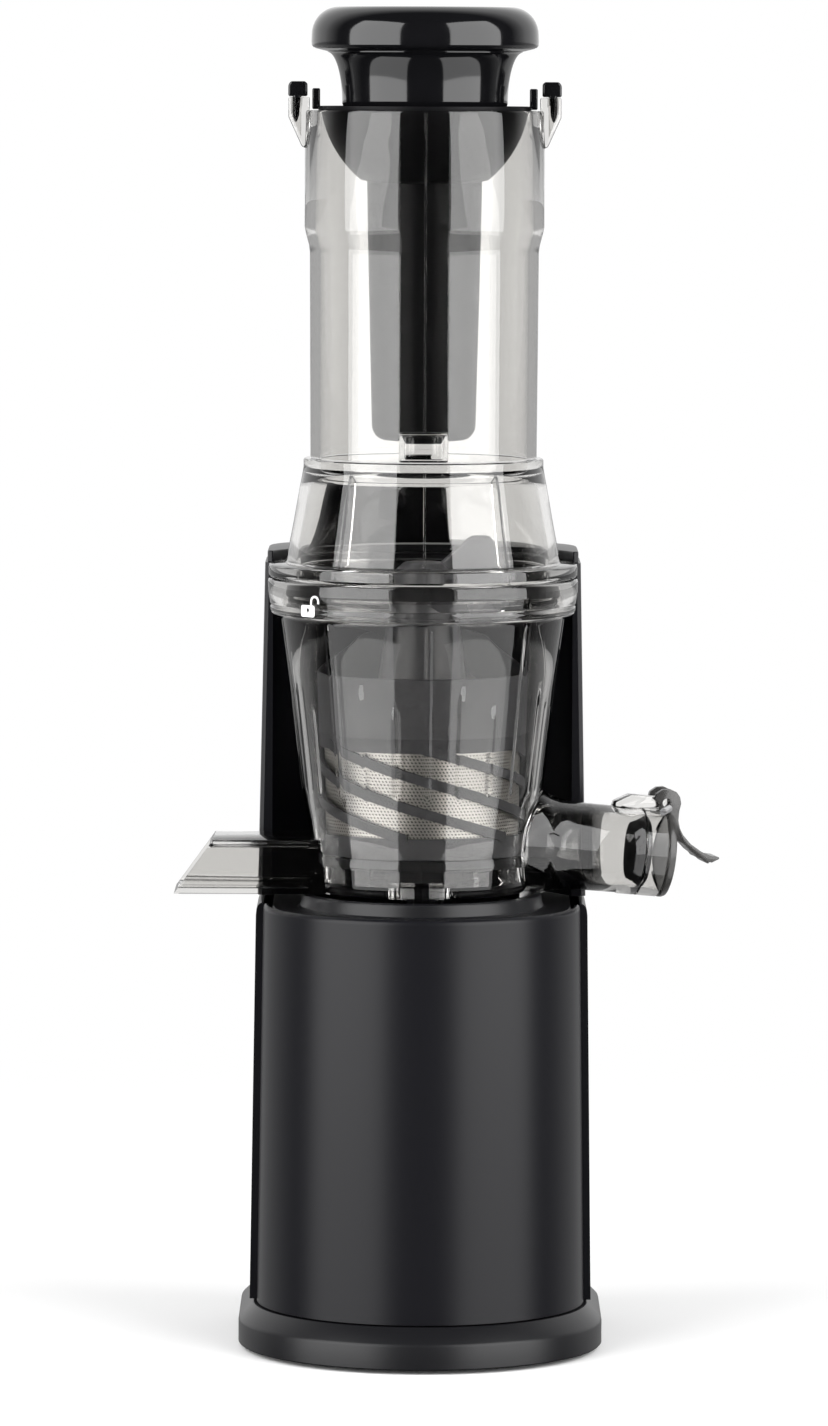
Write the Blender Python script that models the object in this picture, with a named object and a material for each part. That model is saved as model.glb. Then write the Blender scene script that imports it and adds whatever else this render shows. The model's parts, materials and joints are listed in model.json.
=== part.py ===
"""Upright slow juicer: motor base with rear tower, clear drum, strainer, auger, lid, chute and pusher.

Metres, +Z up. The front of the juicer faces -Y, the juice outlet points to +X and the pulp spout to -X.
Everything is drawn around the drum's axis and hangs from one empty, which puts the world origin at the
bottom centre of the bounding box.
"""
import math

import bmesh
import bpy
from mathutils import Vector

# Placing
DRUM_AXIS = (-0.0089, -0.0133, 0.0)
FACETS = 32
SMALL_FACETS = 16
GAP = 0.0003

# Motor base
FOOT_BOTTOM = 0.0015
SKIRT_RADIUS = 0.0614
SKIRT_TOP = 0.0151
SKIRT_REAR = 0.0880
HOUSING_RADIUS = 0.0567
HOUSING_REAR = 0.0820
SIDE_END = 0.0490
HOUSING_BOTTOM = 0.0156
HOUSING_TOP = 0.1502
FRONT_BOTTOM_RADIUS = 0.0552
FRONT_TOP_RADIUS = 0.0534
WALL = 0.0025
PANEL_GROOVE = 0.0011

# Deck and pedestal
DECK_RADIUS = 0.0504
DECK_BOTTOM = 0.1460
DECK_TOP = 0.1494
PEDESTAL_RADIUS = 0.0404
PEDESTAL_TOP = 0.1542

# Rear tower
TOWER_ARC = 0.0545
TOWER_BOTTOM = 0.1509
TOWER_TOP = 0.2640
TOWER_CAP_TOP = 0.2680
TOWER_HALF_BOTTOM = 0.0556
TOWER_HALF_TOP = 0.0534
TOWER_CAP_HALF = 0.0522
TOWER_REAR = 0.0800
HORN_Y = 0.0205

# Drive train: two stages of ten teeth into forty
PINION_TEETH = 10
WHEEL_TEETH = 40
FIRST_MODULE = 0.0008
SECOND_MODULE = 0.0010
ROTOR_AT = (0.0, 0.0180)
PRESSURE_ANGLE = math.radians(20)
SHAFT_RADIUS = 0.0070
HEX_RADIUS = 0.0046
IDLER_PIN_RADIUS = 0.0022
MOTOR_SHAFT_RADIUS = 0.0040

# Drum and strainer
COLLAR_TOP = 0.2603
DRUM_BOTTOM = 0.1553
STRAINER_BOTTOM = 0.1682
STRAINER_TOP = 0.2290
FUNNEL_START = 187
FUNNEL_END = 76
BAND_COUNT = 6
BAND_LEAD = 0.0630
AUGER_BOTTOM = 0.1690

# Juice outlet, drawn along its own x axis from the drum's axis
OUTLET_YAW = math.radians(11)
OUTLET_DIP = math.radians(5.5)
OUTLET_Z = 0.1742
TUBE_START = 0.0250
TUBE_RADIUS = 0.0146
TUBE_BORE = 0.0120
TUBE_END = 0.0745
CAP_PIN = (0.0818, 0.0174)

# Pulp spout
SPOUT_BOTTOM = 0.1549
SPOUT_TOP = 0.1729
SPOUT_HALF_WIDTH = 0.0150
SPOUT_TIP = -0.0832
SPOUT_TOP_END = -0.0700

# Lid, chute, gate and pusher
LID_BOTTOM = 0.2606
LID_TOP = 0.3005
CHUTE_BOTTOM = 0.3009
CHUTE_TOP = 0.4167
GATE_CENTRE = 0.4200
GATE_SPHERE = 0.0358
GATE_BORE = 0.0346
PUSHER_TOP = 0.4512


def clear_scene():
    for old in list(bpy.data.objects):
        bpy.data.objects.remove(old, do_unlink=True)


def linear(channel):
    return channel / 12.92 if channel <= 0.04045 else ((channel + 0.055) / 1.055) ** 2.4


def finish(name, colour, roughness, metallic=0.0, alpha=1.0):
    """A Principled material from an sRGB hex colour."""
    material = bpy.data.materials.new(name)
    material.use_nodes = True
    shader = material.node_tree.nodes["Principled BSDF"]
    rgb = [linear(int(colour[i:i + 2], 16) / 255) for i in (0, 2, 4)]
    shader.inputs["Base Color"].default_value = (*rgb, 1)
    shader.inputs["Roughness"].default_value = roughness
    shader.inputs["Metallic"].default_value = metallic
    shader.inputs["Alpha"].default_value = alpha
    return material


def hang(name, mesh, material, parent, place=(0, 0, 0)):
    """Put a mesh in the scene as one named piece."""
    piece = bpy.data.objects.new(name, mesh)
    if material:
        mesh.materials.append(material)
    bpy.context.scene.collection.objects.link(piece)
    piece.parent = parent
    piece.location = place
    return piece


def to_mesh(name, bm, sharp=30):
    bmesh.ops.remove_doubles(bm, verts=bm.verts, dist=1e-6)
    bmesh.ops.recalc_face_normals(bm, faces=bm.faces)
    mesh = bpy.data.meshes.new(name)
    bm.to_mesh(mesh)
    bm.free()
    mesh.shade_smooth()
    mesh.set_sharp_from_angle(angle=math.radians(sharp))
    return mesh


def turned(name, outline, steps=FACETS, closed=True):
    """Spin an outline of (radius, z) points about z. An open outline starts and ends on the axis."""
    bm = bmesh.new()
    points = [bm.verts.new((r, 0, z)) for r, z in outline]
    pairs = list(zip(points, points[1:]))
    if closed:
        pairs.append((points[-1], points[0]))
    edges = [bm.edges.new(pair) for pair in pairs]
    bmesh.ops.spin(bm, geom=points + edges, cent=(0, 0, 0), axis=(0, 0, 1), angle=2 * math.pi,
                   steps=steps, use_merge=True)
    return to_mesh(name, bm)


def prism(name, outline, low, high, top_outline=None):
    """A solid between two level outlines of equal length."""
    bm = bmesh.new()
    floor = [bm.verts.new((x, y, low)) for x, y in outline]
    roof = [bm.verts.new((x, y, high)) for x, y in top_outline or outline]
    count = len(floor)
    for i in range(count):
        j = (i + 1) % count
        bm.faces.new((floor[i], floor[j], roof[j], roof[i]))
    bm.faces.new(floor[::-1])
    bm.faces.new(roof)
    return to_mesh(name, bm)


def upright(name, outline, low, high, across="y"):
    """A solid from an outline of (along, z) points, extruded across y or across x."""
    bm = bmesh.new()
    if across == "y":
        near = [bm.verts.new((a, low, z)) for a, z in outline]
    else:
        near = [bm.verts.new((low, a, z)) for a, z in outline]
    face = bm.faces.new(near)
    moved = bmesh.ops.extrude_face_region(bm, geom=[face])["geom"]
    shift = (0, high - low, 0) if across == "y" else (high - low, 0, 0)
    bmesh.ops.translate(bm, verts=[v for v in moved if isinstance(v, bmesh.types.BMVert)], vec=shift)
    return to_mesh(name, bm)


def block(name, low, high):
    outline = [(low[0], low[1]), (high[0], low[1]), (high[0], high[1]), (low[0], high[1])]
    return prism(name, outline, low[2], high[2])


def rod(name, radius, start, end, axis="x", steps=SMALL_FACETS):
    """A plain round bar along one axis, used for pins and for cutting bores."""
    mesh = turned(name, [(0, end), (radius, end), (radius, start), (0, start)], steps, closed=False)
    for vert in mesh.vertices:
        x, y, z = vert.co
        if axis == "x":
            vert.co = (z, x, y)
        elif axis == "y":
            vert.co = (y, z, x)
    return mesh


def wall(name, path, section):
    """Sweep a section of (outset, z) points along an open path of (point, normal) pairs."""
    bm = bmesh.new()
    rings = []
    for point, normal in path:
        rings.append([bm.verts.new((point.x + normal.x * out, point.y + normal.y * out, z))
                      for out, z in section])
    for ring, after in zip(rings, rings[1:]):
        for i in range(len(section)):
            j = (i + 1) % len(section)
            bm.faces.new((ring[i], ring[j], after[j], after[i]))
    bm.faces.new(rings[0])
    bm.faces.new(rings[-1][::-1])
    return to_mesh(name, bm)


def circle(radius, steps=FACETS, centre=(0, 0)):
    turn = 2 * math.pi / steps
    return [(centre[0] + radius * math.cos(i * turn), centre[1] + radius * math.sin(i * turn))
            for i in range(steps)]


def front_arc(radius, end_y, steps=FACETS // 2):
    """Half circle round the front, from +x to -x, as points with outward normals."""
    path = []
    for i in range(steps + 1):
        angle = -math.pi * i / steps
        normal = Vector((math.cos(angle), math.sin(angle)))
        path.append((normal * radius + Vector((0, end_y)), normal))
    return path


def rear_curve(half_width, rear, start, steps=18, squareness=2.6):
    """The rounded back of the housing, from +x over the rear to -x."""
    depth = rear - start
    points = []
    for i in range(steps + 1):
        angle = math.pi * i / steps
        across = math.copysign(abs(math.cos(angle)) ** (2 / squareness), math.cos(angle))
        points.append(Vector((half_width * across, start + depth * math.sin(angle) ** (2 / squareness))))
    return points


def rear_path(half_width, rear, front_y):
    """The U of a rear wall: side, rounded back, side."""
    points = [Vector((half_width, front_y))] + rear_curve(half_width, rear, SIDE_END)
    points.append(Vector((-half_width, front_y)))
    path = []
    for i, point in enumerate(points):
        before = points[max(i - 1, 0)]
        after = points[min(i + 1, len(points) - 1)]
        along = (after - before).normalized()
        path.append((point, Vector((along.y, -along.x))))
    return path


def base_outline(half_width, rear):
    """Plan of the whole base: half circle in front, straight sides, rounded back."""
    front = [(p.x, p.y) for p, _ in front_arc(half_width, 0)]
    back = [(p.x, p.y) for p in rear_curve(half_width, rear, SIDE_END)]
    return front[::-1] + back


def modify(piece, cutter, operation):
    """Cut or join with another mesh, which stays as a hidden guide."""
    cutter.hide_render = True
    cutter.display_type = "WIRE"
    change = piece.modifiers.new(cutter.name, "BOOLEAN")
    change.operation = operation
    change.object = cutter
    change.solver = "EXACT"
    return change


def cut(piece, mesh, parent, place=(0, 0, 0)):
    return modify(piece, hang(mesh.name, mesh, None, parent, place), "DIFFERENCE")


def join(piece, mesh, parent, place=(0, 0, 0)):
    return modify(piece, hang(mesh.name, mesh, None, parent, place), "UNION")


def gear_outline(teeth, module, phase):
    """Involute teeth, three points a flank. A tooth is centred on the phase angle."""
    pitch = teeth * module / 2
    base = pitch * math.cos(PRESSURE_ANGLE)
    radii = [pitch - 1.15 * module, pitch, pitch + 0.75 * module]
    slack = 0.09 * module / pitch
    outline = []
    for tooth in range(teeth):
        middle = phase + 2 * math.pi * tooth / teeth
        halves = []
        for radius in radii:
            roll = math.acos(min(1, base / max(radius, base)))
            lean = math.tan(roll) - roll - (math.tan(PRESSURE_ANGLE) - PRESSURE_ANGLE)
            halves.append(math.pi / (2 * teeth) - lean - slack)
        flank = list(zip(radii, halves))
        for radius, half in flank:
            outline.append((radius * math.cos(middle - half), radius * math.sin(middle - half)))
        for radius, half in reversed(flank):
            outline.append((radius * math.cos(middle + half), radius * math.sin(middle + half)))
    return outline


def idler_place():
    """Where the first wheel meets the motor pinion and its own pinion meets the output wheel."""
    first = (PINION_TEETH + WHEEL_TEETH) * FIRST_MODULE / 2
    second = (PINION_TEETH + WHEEL_TEETH) * SECOND_MODULE / 2
    rotor_y = ROTOR_AT[1]
    y = (second ** 2 - first ** 2 + rotor_y ** 2) / (2 * rotor_y)
    return (math.sqrt(second ** 2 - y ** 2), y)


def helix(name, inner, outer_low, outer_high, low, high, turns, start, thickness, steps):
    """A screw flight or band: an upright rectangle swept up a helix."""
    bm = bmesh.new()
    rings = []
    for i in range(steps + 1):
        along = i / steps
        angle = start + 2 * math.pi * turns * along
        outer = outer_low + (outer_high - outer_low) * along
        z = low + (high - low) * along
        ring = []
        for radius, lift in ((inner, 0), (outer, 0), (outer, thickness), (inner, thickness)):
            ring.append(bm.verts.new((radius * math.cos(angle), radius * math.sin(angle), z + lift)))
        rings.append(ring)
    for ring, after in zip(rings, rings[1:]):
        for i in range(4):
            j = (i + 1) % 4
            bm.faces.new((ring[i], ring[j], after[j], after[i]))
    bm.faces.new(rings[0])
    bm.faces.new(rings[-1][::-1])
    return to_mesh(name, bm)


def make_base(root):
    """Skirts, bottom plate, feet and screws."""
    black = ("2b2b2d", 0.4)
    skirt = [(0, FOOT_BOTTOM), (0, 0.0099), (-0.0052, SKIRT_TOP), (-0.0085, SKIRT_TOP),
             (-0.0026, 0.0087), (-0.0026, FOOT_BOTTOM)]
    hang("base_skirt_front", wall("base_skirt_front", front_arc(SKIRT_RADIUS, -GAP / 2), skirt),
         finish("Skirt front ABS", *black), root)
    hang("base_skirt_rear", wall("base_skirt_rear", rear_path(SKIRT_RADIUS, SKIRT_REAR, GAP / 2), skirt),
         finish("Skirt rear ABS", *black), root)

    plate = hang("bottom_plate", prism("bottom_plate", base_outline(0.0584, 0.0850), 0.0030, 0.0055),
                 finish("Bottom plate ABS", "1d1d1f", 0.6), root)
    feet = [(-0.038, -0.028), (0.038, -0.028), (0.038, 0.064), (-0.038, 0.064)]
    screws = [(-0.052, 0.012), (0.052, 0.012), (0.020, 0.074), (-0.020, 0.074)]
    for number, (x, y) in enumerate(feet, 1):
        cut(plate, turned(f"foot_hole_{number}", [(0, 0.008), (0.006, 0.008), (0.006, 0.001), (0, 0.001)],
                          12, closed=False), root, (x, y, 0))
        foot = [(0, 0.0072), (0.0056, 0.0072), (0.0056, 0.0027), (0.0080, 0.0027), (0.0080, 0.0006),
                (0.0074, 0), (0, 0)]
        hang(f"rubber_foot_{number}", turned(f"rubber_foot_{number}", foot, SMALL_FACETS, closed=False),
             finish(f"Foot rubber {number}", "18181a", 0.85), root, (x, y, 0))
    for number, (x, y) in enumerate(screws, 1):
        cut(plate, turned(f"screw_hole_{number}", [(0, 0.008), (0.0020, 0.008), (0.0020, 0.001), (0, 0.001)],
                          12, closed=False), root, (x, y, 0))
        screw = [(0, 0.0120), (0.0016, 0.0120), (0.0016, 0.0027), (0.0034, 0.0027), (0.0034, 0.0014),
                 (0.0022, 0.0010), (0, 0.0010)]
        hang(f"base_screw_{number}", turned(f"base_screw_{number}", screw, 12, closed=False),
             finish(f"Zinc screw {number}", "b5b7b8", 0.35, 1.0), root, (x, y, 0))


def make_housing(root):
    """Front shell, rear housing, deck, tower and its cap."""
    black = ("38383b", 0.35)
    low_out = FRONT_BOTTOM_RADIUS - FRONT_TOP_RADIUS
    front = [(low_out, HOUSING_BOTTOM), (0, 0.1488), (-0.0008, HOUSING_TOP), (-0.0022, HOUSING_TOP),
             (-WALL, 0.1480), (low_out - WALL, HOUSING_BOTTOM)]
    hang("front_shell", wall("front_shell", front_arc(FRONT_TOP_RADIUS, 0), front),
         finish("Front shell ABS", *black), root)

    rear = [(0.0010, HOUSING_BOTTOM), (-0.0010, 0.1494), (-0.0018, HOUSING_TOP), (-0.0035, HOUSING_TOP),
            (0.0010 - WALL, HOUSING_BOTTOM)]
    path = rear_path(HOUSING_RADIUS, HOUSING_REAR, PANEL_GROOVE)
    housing = hang("rear_housing", wall("rear_housing", path, rear), finish("Rear housing ABS", *black), root)
    cut(housing, block("switch_cutout", (-0.0110, 0.070, 0.0580), (0.0110, 0.090, 0.0820)), root)
    cut(housing, rod("cord_cutout", 0.0070, 0.070, 0.090, "y"), root, (0.0, 0, 0.0300))

    deck = hang("top_deck", prism("top_deck", base_outline(DECK_RADIUS, 0.0765), DECK_BOTTOM, DECK_TOP),
                finish("Deck ABS", "232325", 0.45), root)
    ring = [(PEDESTAL_RADIUS, 0.1530), (PEDESTAL_RADIUS, 0.1480), (0.0370, 0.1480), (0.0370, PEDESTAL_TOP),
            (PEDESTAL_RADIUS - 0.0012, PEDESTAL_TOP)]
    join(deck, turned("pedestal_ring", ring), root)
    cut(deck, rod("deck_hole", 0.0113, 0.14, 0.16, "z"), root)

    seal = [(0.0110, 0.1500), (0.0110, 0.1462), (0.0078, 0.1462), (0.0074, 0.1475), (0.0078, 0.1500)]
    hang("deck_shaft_seal", turned("deck_shaft_seal", seal, SMALL_FACETS),
         finish("Shaft seal NBR", "161617", 0.8), root)

    body = prism("tower_shell", tower_outline(TOWER_HALF_BOTTOM), TOWER_BOTTOM, TOWER_TOP,
                 tower_outline(TOWER_HALF_TOP))
    tower = hang("tower_shell", body, finish("Tower ABS", *black), root)
    pocket = [(0.0573 * math.sin(a), 0.0573 * math.cos(a)) for a in
              [math.radians(31 - 62 * i / 10) for i in range(11)]]
    pocket += [(pocket[-1][0], 0.0740), (pocket[0][0], 0.0740)]
    cut(tower, prism("tower_pocket", pocket[::-1], 0.1560, 0.2700), root)
    cap = prism("tower_top_cap", tower_outline(TOWER_CAP_HALF), TOWER_TOP + GAP, TOWER_CAP_TOP)
    hang("tower_top_cap", cap, finish("Tower cap ABS", *black), root)


def tower_outline(half_width):
    """Plan of the tower: hollow arc round the drum, a rounded horn each side, sides and rounded back."""
    reach = math.asin(HORN_Y / TOWER_ARC)
    steps = 22
    inner = []
    for i in range(steps + 1):
        angle = math.pi - reach - (math.pi - 2 * reach) * i / steps
        inner.append((TOWER_ARC * math.cos(angle), TOWER_ARC * math.sin(angle)))
    nose = [(half_width - 0.0014, HORN_Y - 0.0006), (half_width, HORN_Y + 0.0012)]
    back = [(p.x, p.y) for p in rear_curve(half_width, TOWER_REAR, 0.0460)]
    return inner + nose + back + [(-x, y) for x, y in nose[::-1]]


def make_motor(root):
    """Motor, its mount and bearings, and the gearbox's fixed parts."""
    x, y = ROTOR_AT
    place = (x, y, 0)
    mount = [(0.0460, 0.0170), (0.0460, 0.0060), (0.0435, 0.0060), (0.0435, 0.0140), (0.0113, 0.0140),
             (0.0113, 0.0170)]
    hang("motor_mount", turned("motor_mount", mount, 32),
         finish("Motor mount PA", "303234", 0.6), root, place)
    stator = [(0.0400, 0.0780), (0.0400, 0.0250), (0.0245, 0.0250), (0.0245, 0.0780)]
    hang("motor_stator", turned("motor_stator", stator, 32),
         finish("Stator laminations", "6d6f72", 0.5, 0.8), root, place)
    bearings = (("motor_bearing_lower", 0.0143, 0.0110), ("motor_bearing_upper", 0.0845, 0.0079))
    for name, low, outer in bearings:
        ring = [(outer, low + 0.0050), (outer, low), (MOTOR_SHAFT_RADIUS + GAP, low),
                (MOTOR_SHAFT_RADIUS + GAP, low + 0.0050)]
        hang(name, turned(name, ring, SMALL_FACETS), finish(name, "a9abad", 0.3, 1.0), root, place)

    plate = hang("gearbox_plate", prism("gearbox_plate", circle(0.0455, 32, (0, 0.010)), 0.0850, 0.0880),
                 finish("Gearbox plate zinc", "8b8d90", 0.45, 0.8), root)
    cut(plate, rod("bearing_hole", 0.0082, 0.08, 0.095, "z"), root, place)
    cover = [(0, 0.1330), (0.0455, 0.1330), (0.0455, 0.0884), (0.0430, 0.0884), (0.0430, 0.1300), (0, 0.1300)]
    housing = hang("gearbox_cover", turned("gearbox_cover", cover, 32, closed=False),
                   finish("Gearbox cover PA", "2c2e31", 0.6), root, (0, 0.010, 0))
    cut(housing, rod("output_hole", 0.0133, 0.12, 0.14, "z"), root)
    bearing = [(0.0130, 0.1370), (0.0130, 0.1290), (SHAFT_RADIUS + GAP, 0.1290), (SHAFT_RADIUS + GAP, 0.1370)]
    hang("output_bearing", turned("output_bearing", bearing, SMALL_FACETS),
         finish("Output bearing steel", "a9abad", 0.3, 1.0), root)
    pin_x, pin_y = idler_place()
    hang("idler_pin", rod("idler_pin", IDLER_PIN_RADIUS, 0.0884, 0.1296, "z"),
         finish("Idler pin steel", "a9abad", 0.3, 1.0), root, (pin_x, pin_y, 0))


def make_train(root):
    """The turning parts of the drive, each with its origin on its own axis."""
    pin_x, pin_y = idler_place()
    to_idler = math.atan2(pin_y, pin_x)
    to_rotor = math.atan2(ROTOR_AT[1] - pin_y, ROTOR_AT[0] - pin_x)
    steel = ("9c9ea1", 0.3, 1.0)
    half_tooth = math.pi / PINION_TEETH

    shaft = hang("drive_shaft", rod("drive_shaft", SHAFT_RADIUS, 0.1064, 0.1615, "z"),
                 finish("Drive shaft steel", *steel), root)
    join(shaft, rod("drive_hex", HEX_RADIUS, 0.1600, 0.1880, "z", 6), root)
    wheel = hang("output_gear", prism("output_gear", gear_outline(WHEEL_TEETH, SECOND_MODULE, to_idler),
                                      0.1085, 0.1195), finish("Output gear POM", "d9d7cf", 0.45), root)
    cut(wheel, rod("output_bore", SHAFT_RADIUS + GAP, 0.10, 0.13, "z"), root)

    place = (pin_x, pin_y, 0)
    idler = hang("idler_gear", prism("idler_gear", gear_outline(WHEEL_TEETH, FIRST_MODULE, to_rotor),
                                     0.0965, 0.1045), finish("Idler gear POM", "d9d7cf", 0.45), root, place)
    small = gear_outline(PINION_TEETH, SECOND_MODULE, to_idler + math.pi + half_tooth)
    join(idler, prism("idler_pinion", small, 0.1035, 0.1210), root, place)
    cut(idler, rod("idler_bore", IDLER_PIN_RADIUS + GAP, 0.09, 0.13, "z"), root, place)

    place = (*ROTOR_AT, 0)
    shaft_r = MOTOR_SHAFT_RADIUS
    core = [(0, 0.0960), (shaft_r, 0.0960), (shaft_r, 0.0750), (0.0150, 0.0750), (0.0180, 0.0720),
            (0.0180, 0.0340), (0.0150, 0.0310), (shaft_r, 0.0310), (shaft_r, 0.0100), (0, 0.0100)]
    rotor = hang("motor_rotor", turned("motor_rotor", core, SMALL_FACETS, closed=False),
                 finish("Rotor core steel", *steel), root, place)
    drive = gear_outline(PINION_TEETH, FIRST_MODULE, to_rotor + math.pi + half_tooth)
    join(rotor, prism("motor_pinion", drive, 0.0950, 0.1060), root, place)
    blades = []
    for i in range(9):
        for radius, turn in ((0.0080, -0.30), (0.0200, -0.12), (0.0200, 0.12), (0.0080, 0.05)):
            angle = 2 * math.pi * i / 9 + turn
            blades.append((radius * math.cos(angle), radius * math.sin(angle)))
    fan = hang("cooling_fan", prism("cooling_fan", blades, 0.0205, 0.0240),
               finish("Fan PP", "e4e2dc", 0.5), root, place)
    cut(fan, rod("fan_bore", MOTOR_SHAFT_RADIUS + GAP, 0.018, 0.028, "z"), root, place)


def make_controls(root):
    """Switch, cord inlet, control board and lid interlock."""
    bezel = hang("switch_bezel", block("switch_bezel", (-0.0130, 0.0828, 0.0560), (0.0130, 0.0844, 0.0840)),
                 finish("Bezel PA", "1b1b1d", 0.5), root)
    join(bezel, block("bezel_sleeve", (-0.0107, 0.0740, 0.0583), (0.0107, 0.0835, 0.0817)), root)
    cut(bezel, block("bezel_mouth", (-0.0090, 0.0700, 0.0600), (0.0090, 0.0900, 0.0800)), root)
    rocker = []
    for y, z in ((-0.0040, -0.0093), (0.0028, -0.0093), (0.0012, 0.0), (0.0028, 0.0093), (-0.0040, 0.0093)):
        rocker.append((y, z))
    hang("rocker_switch", upright("rocker_switch", rocker, -0.0086, 0.0086, "x"),
         finish("Rocker PA", "141416", 0.4), root, (0, 0.0815, 0.0700))
    bush = [(0.0066, 0.0770), (0.0066, 0.0833), (0.0090, 0.0833), (0.0090, 0.0862), (0.0055, 0.0872),
            (0.0042, 0.0872), (0.0042, 0.0770)]
    mesh = turned("cord_inlet_bushing", bush, SMALL_FACETS)
    for vert in mesh.vertices:
        x, y, z = vert.co
        vert.co = (y, z, x)
    hang("cord_inlet_bushing", mesh, finish("Bushing TPE", "19191b", 0.75), root, (0, 0, 0.0300))

    board = hang("control_board", block("control_board", (-0.0220, 0.0700, 0.1650), (0.0220, 0.0716, 0.2350)),
                 finish("Board FR4", "2f5a3a", 0.5), root)
    join(board, block("board_relay", (-0.0100, 0.0600, 0.1900), (0.0060, 0.0705, 0.2080)), root)
    hang("interlock_switch", block("interlock_switch", (-0.0100, 0.0590, 0.2480), (0.0100, 0.0650, 0.2590)),
         finish("Interlock PBT", "1c1c1e", 0.5), root)


def drum_profile(grow=0.0):
    """Outer side of the drum from under the collar down to its foot."""
    side = [(0.0508, 0.2486), (0.0473, 0.2469), (0.0448, 0.2290), (0.0405, 0.1910), (0.0382, 0.1776),
            (0.0366, 0.1680), (0.0353, DRUM_BOTTOM)]
    return [(radius + grow, height) for radius, height in side]


def make_drum(root, outlet):
    """Drum, strainer, seals, pulp spout and juice tube."""
    clear = ("c9c9cb", 0.05, 0.0, 0.35)
    inner = [(0.0085, DRUM_BOTTOM), (0.0085, 0.1650), (0.0115, 0.1650), (0.0115, 0.1590), (0.0325, 0.1590),
             (0.0325, 0.1640), (0.0350, 0.1642), (0.0352, 0.1776), (0.0375, 0.1910), (0.0418, 0.2290),
             (0.0440, 0.2462), (0.0472, 0.2500), (0.0472, COLLAR_TOP)]
    drum = hang("juicing_drum", turned("juicing_drum", [(0.0521, COLLAR_TOP)] + drum_profile() + inner),
                finish("Drum copolyester", *clear), root)
    cut(drum, rod("juice_hole", 0.0100, 0.0250, 0.0600), outlet)
    cut(drum, block("pulp_hole", (-0.0500, -0.0115, 0.1600), (-0.0250, 0.0115, 0.1700)), root)

    ring = [(0.0347, 0.1679), (0.0347, 0.1645), (0.0318, 0.1645), (0.0318, 0.1679)]
    hang("drum_base_seal", turned("drum_base_seal", ring, 32),
         finish("Base seal silicone", "1a1a1c", 0.6), root)

    frame = hang("strainer_frame", turned("strainer_frame", [(0.0355, STRAINER_TOP), (0.0347, 0.2045),
                 (0.0335, 0.2045), (0.0345, STRAINER_TOP)], 24), finish("Strainer PA", "3a3a3c", 0.5), root)
    foot = [(0.0337, 0.1755), (0.0335, STRAINER_BOTTOM), (0.0325, STRAINER_BOTTOM), (0.0328, 0.1755)]
    turns = (0.2050 - 0.1725) / BAND_LEAD
    for number in range(BAND_COUNT):
        band = helix(f"strainer_band_{number + 1}", 0.0336, 0.0342, 0.0349, 0.1735, 0.2035, turns,
                     2 * math.pi * number / BAND_COUNT, 0.0033, 12)
        join(frame, band, root)
    join(frame, turned("strainer_foot", foot, 24), root)
    mesh = [(0.0338, 0.2280), (0.0320, 0.1690), (0.0314, 0.1690), (0.0332, 0.2280)]
    hang("strainer_mesh", turned("strainer_mesh", mesh, 24),
         finish("Strainer steel", "c4c6c8", 0.3, 1.0), root)

    outside = [(0, 0.2000)] + [(r, z) for r, z in drum_profile(GAP) if z < 0.2] + [(0, DRUM_BOTTOM)]
    outside.insert(1, (0.0415 + GAP, 0.2000))
    pipe = [(TUBE_RADIUS, TUBE_END), (TUBE_RADIUS, TUBE_START), (TUBE_BORE, TUBE_START), (TUBE_BORE, TUBE_END)]
    tube = hang("juice_outlet_tube", turned("juice_outlet_tube", pipe, 32),
                finish("Tube copolyester", *clear), outlet)
    for vert in tube.data.vertices:
        x, y, z = vert.co
        vert.co = (z, x, y)
    pin_x, pin_z = CAP_PIN
    nose = [(pin_x + 0.0021 * math.sin(a), pin_z - 0.0021 * math.cos(a)) for a in
            [math.radians(180 * i / 8) for i in range(9)]]
    hook = [(0.0640, 0.0135), (0.0725, 0.0135), (0.0742, 0.0153)]
    hook += nose + [(0.0700, 0.0195), (0.0640, 0.0165)]
    join(tube, upright("hinge_hook", hook, -0.0034, 0.0034), outlet)
    cut(tube, rod("hook_bore", 0.0012 + GAP, -0.0100, 0.0100, "y", 12), outlet, (pin_x, 0, pin_z))
    cut(tube, turned("drum_outside", outside, FACETS, closed=False), root)

    spout = [(-0.0300, SPOUT_TOP), (SPOUT_TOP_END, SPOUT_TOP), (SPOUT_TIP, SPOUT_BOTTOM),
             (-0.0300, SPOUT_BOTTOM)]
    pulp = hang("pulp_spout", upright("pulp_spout", spout, -SPOUT_HALF_WIDTH, SPOUT_HALF_WIDTH),
                finish("Spout copolyester", *clear), root)
    low = (-0.0900, -0.0126, SPOUT_BOTTOM + 0.0024)
    high = (-0.0200, 0.0126, SPOUT_TOP - 0.0022)
    cut(pulp, block("spout_channel", low, high), root)
    cut(pulp, turned("drum_outside_2", outside, FACETS, closed=False), root)


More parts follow.
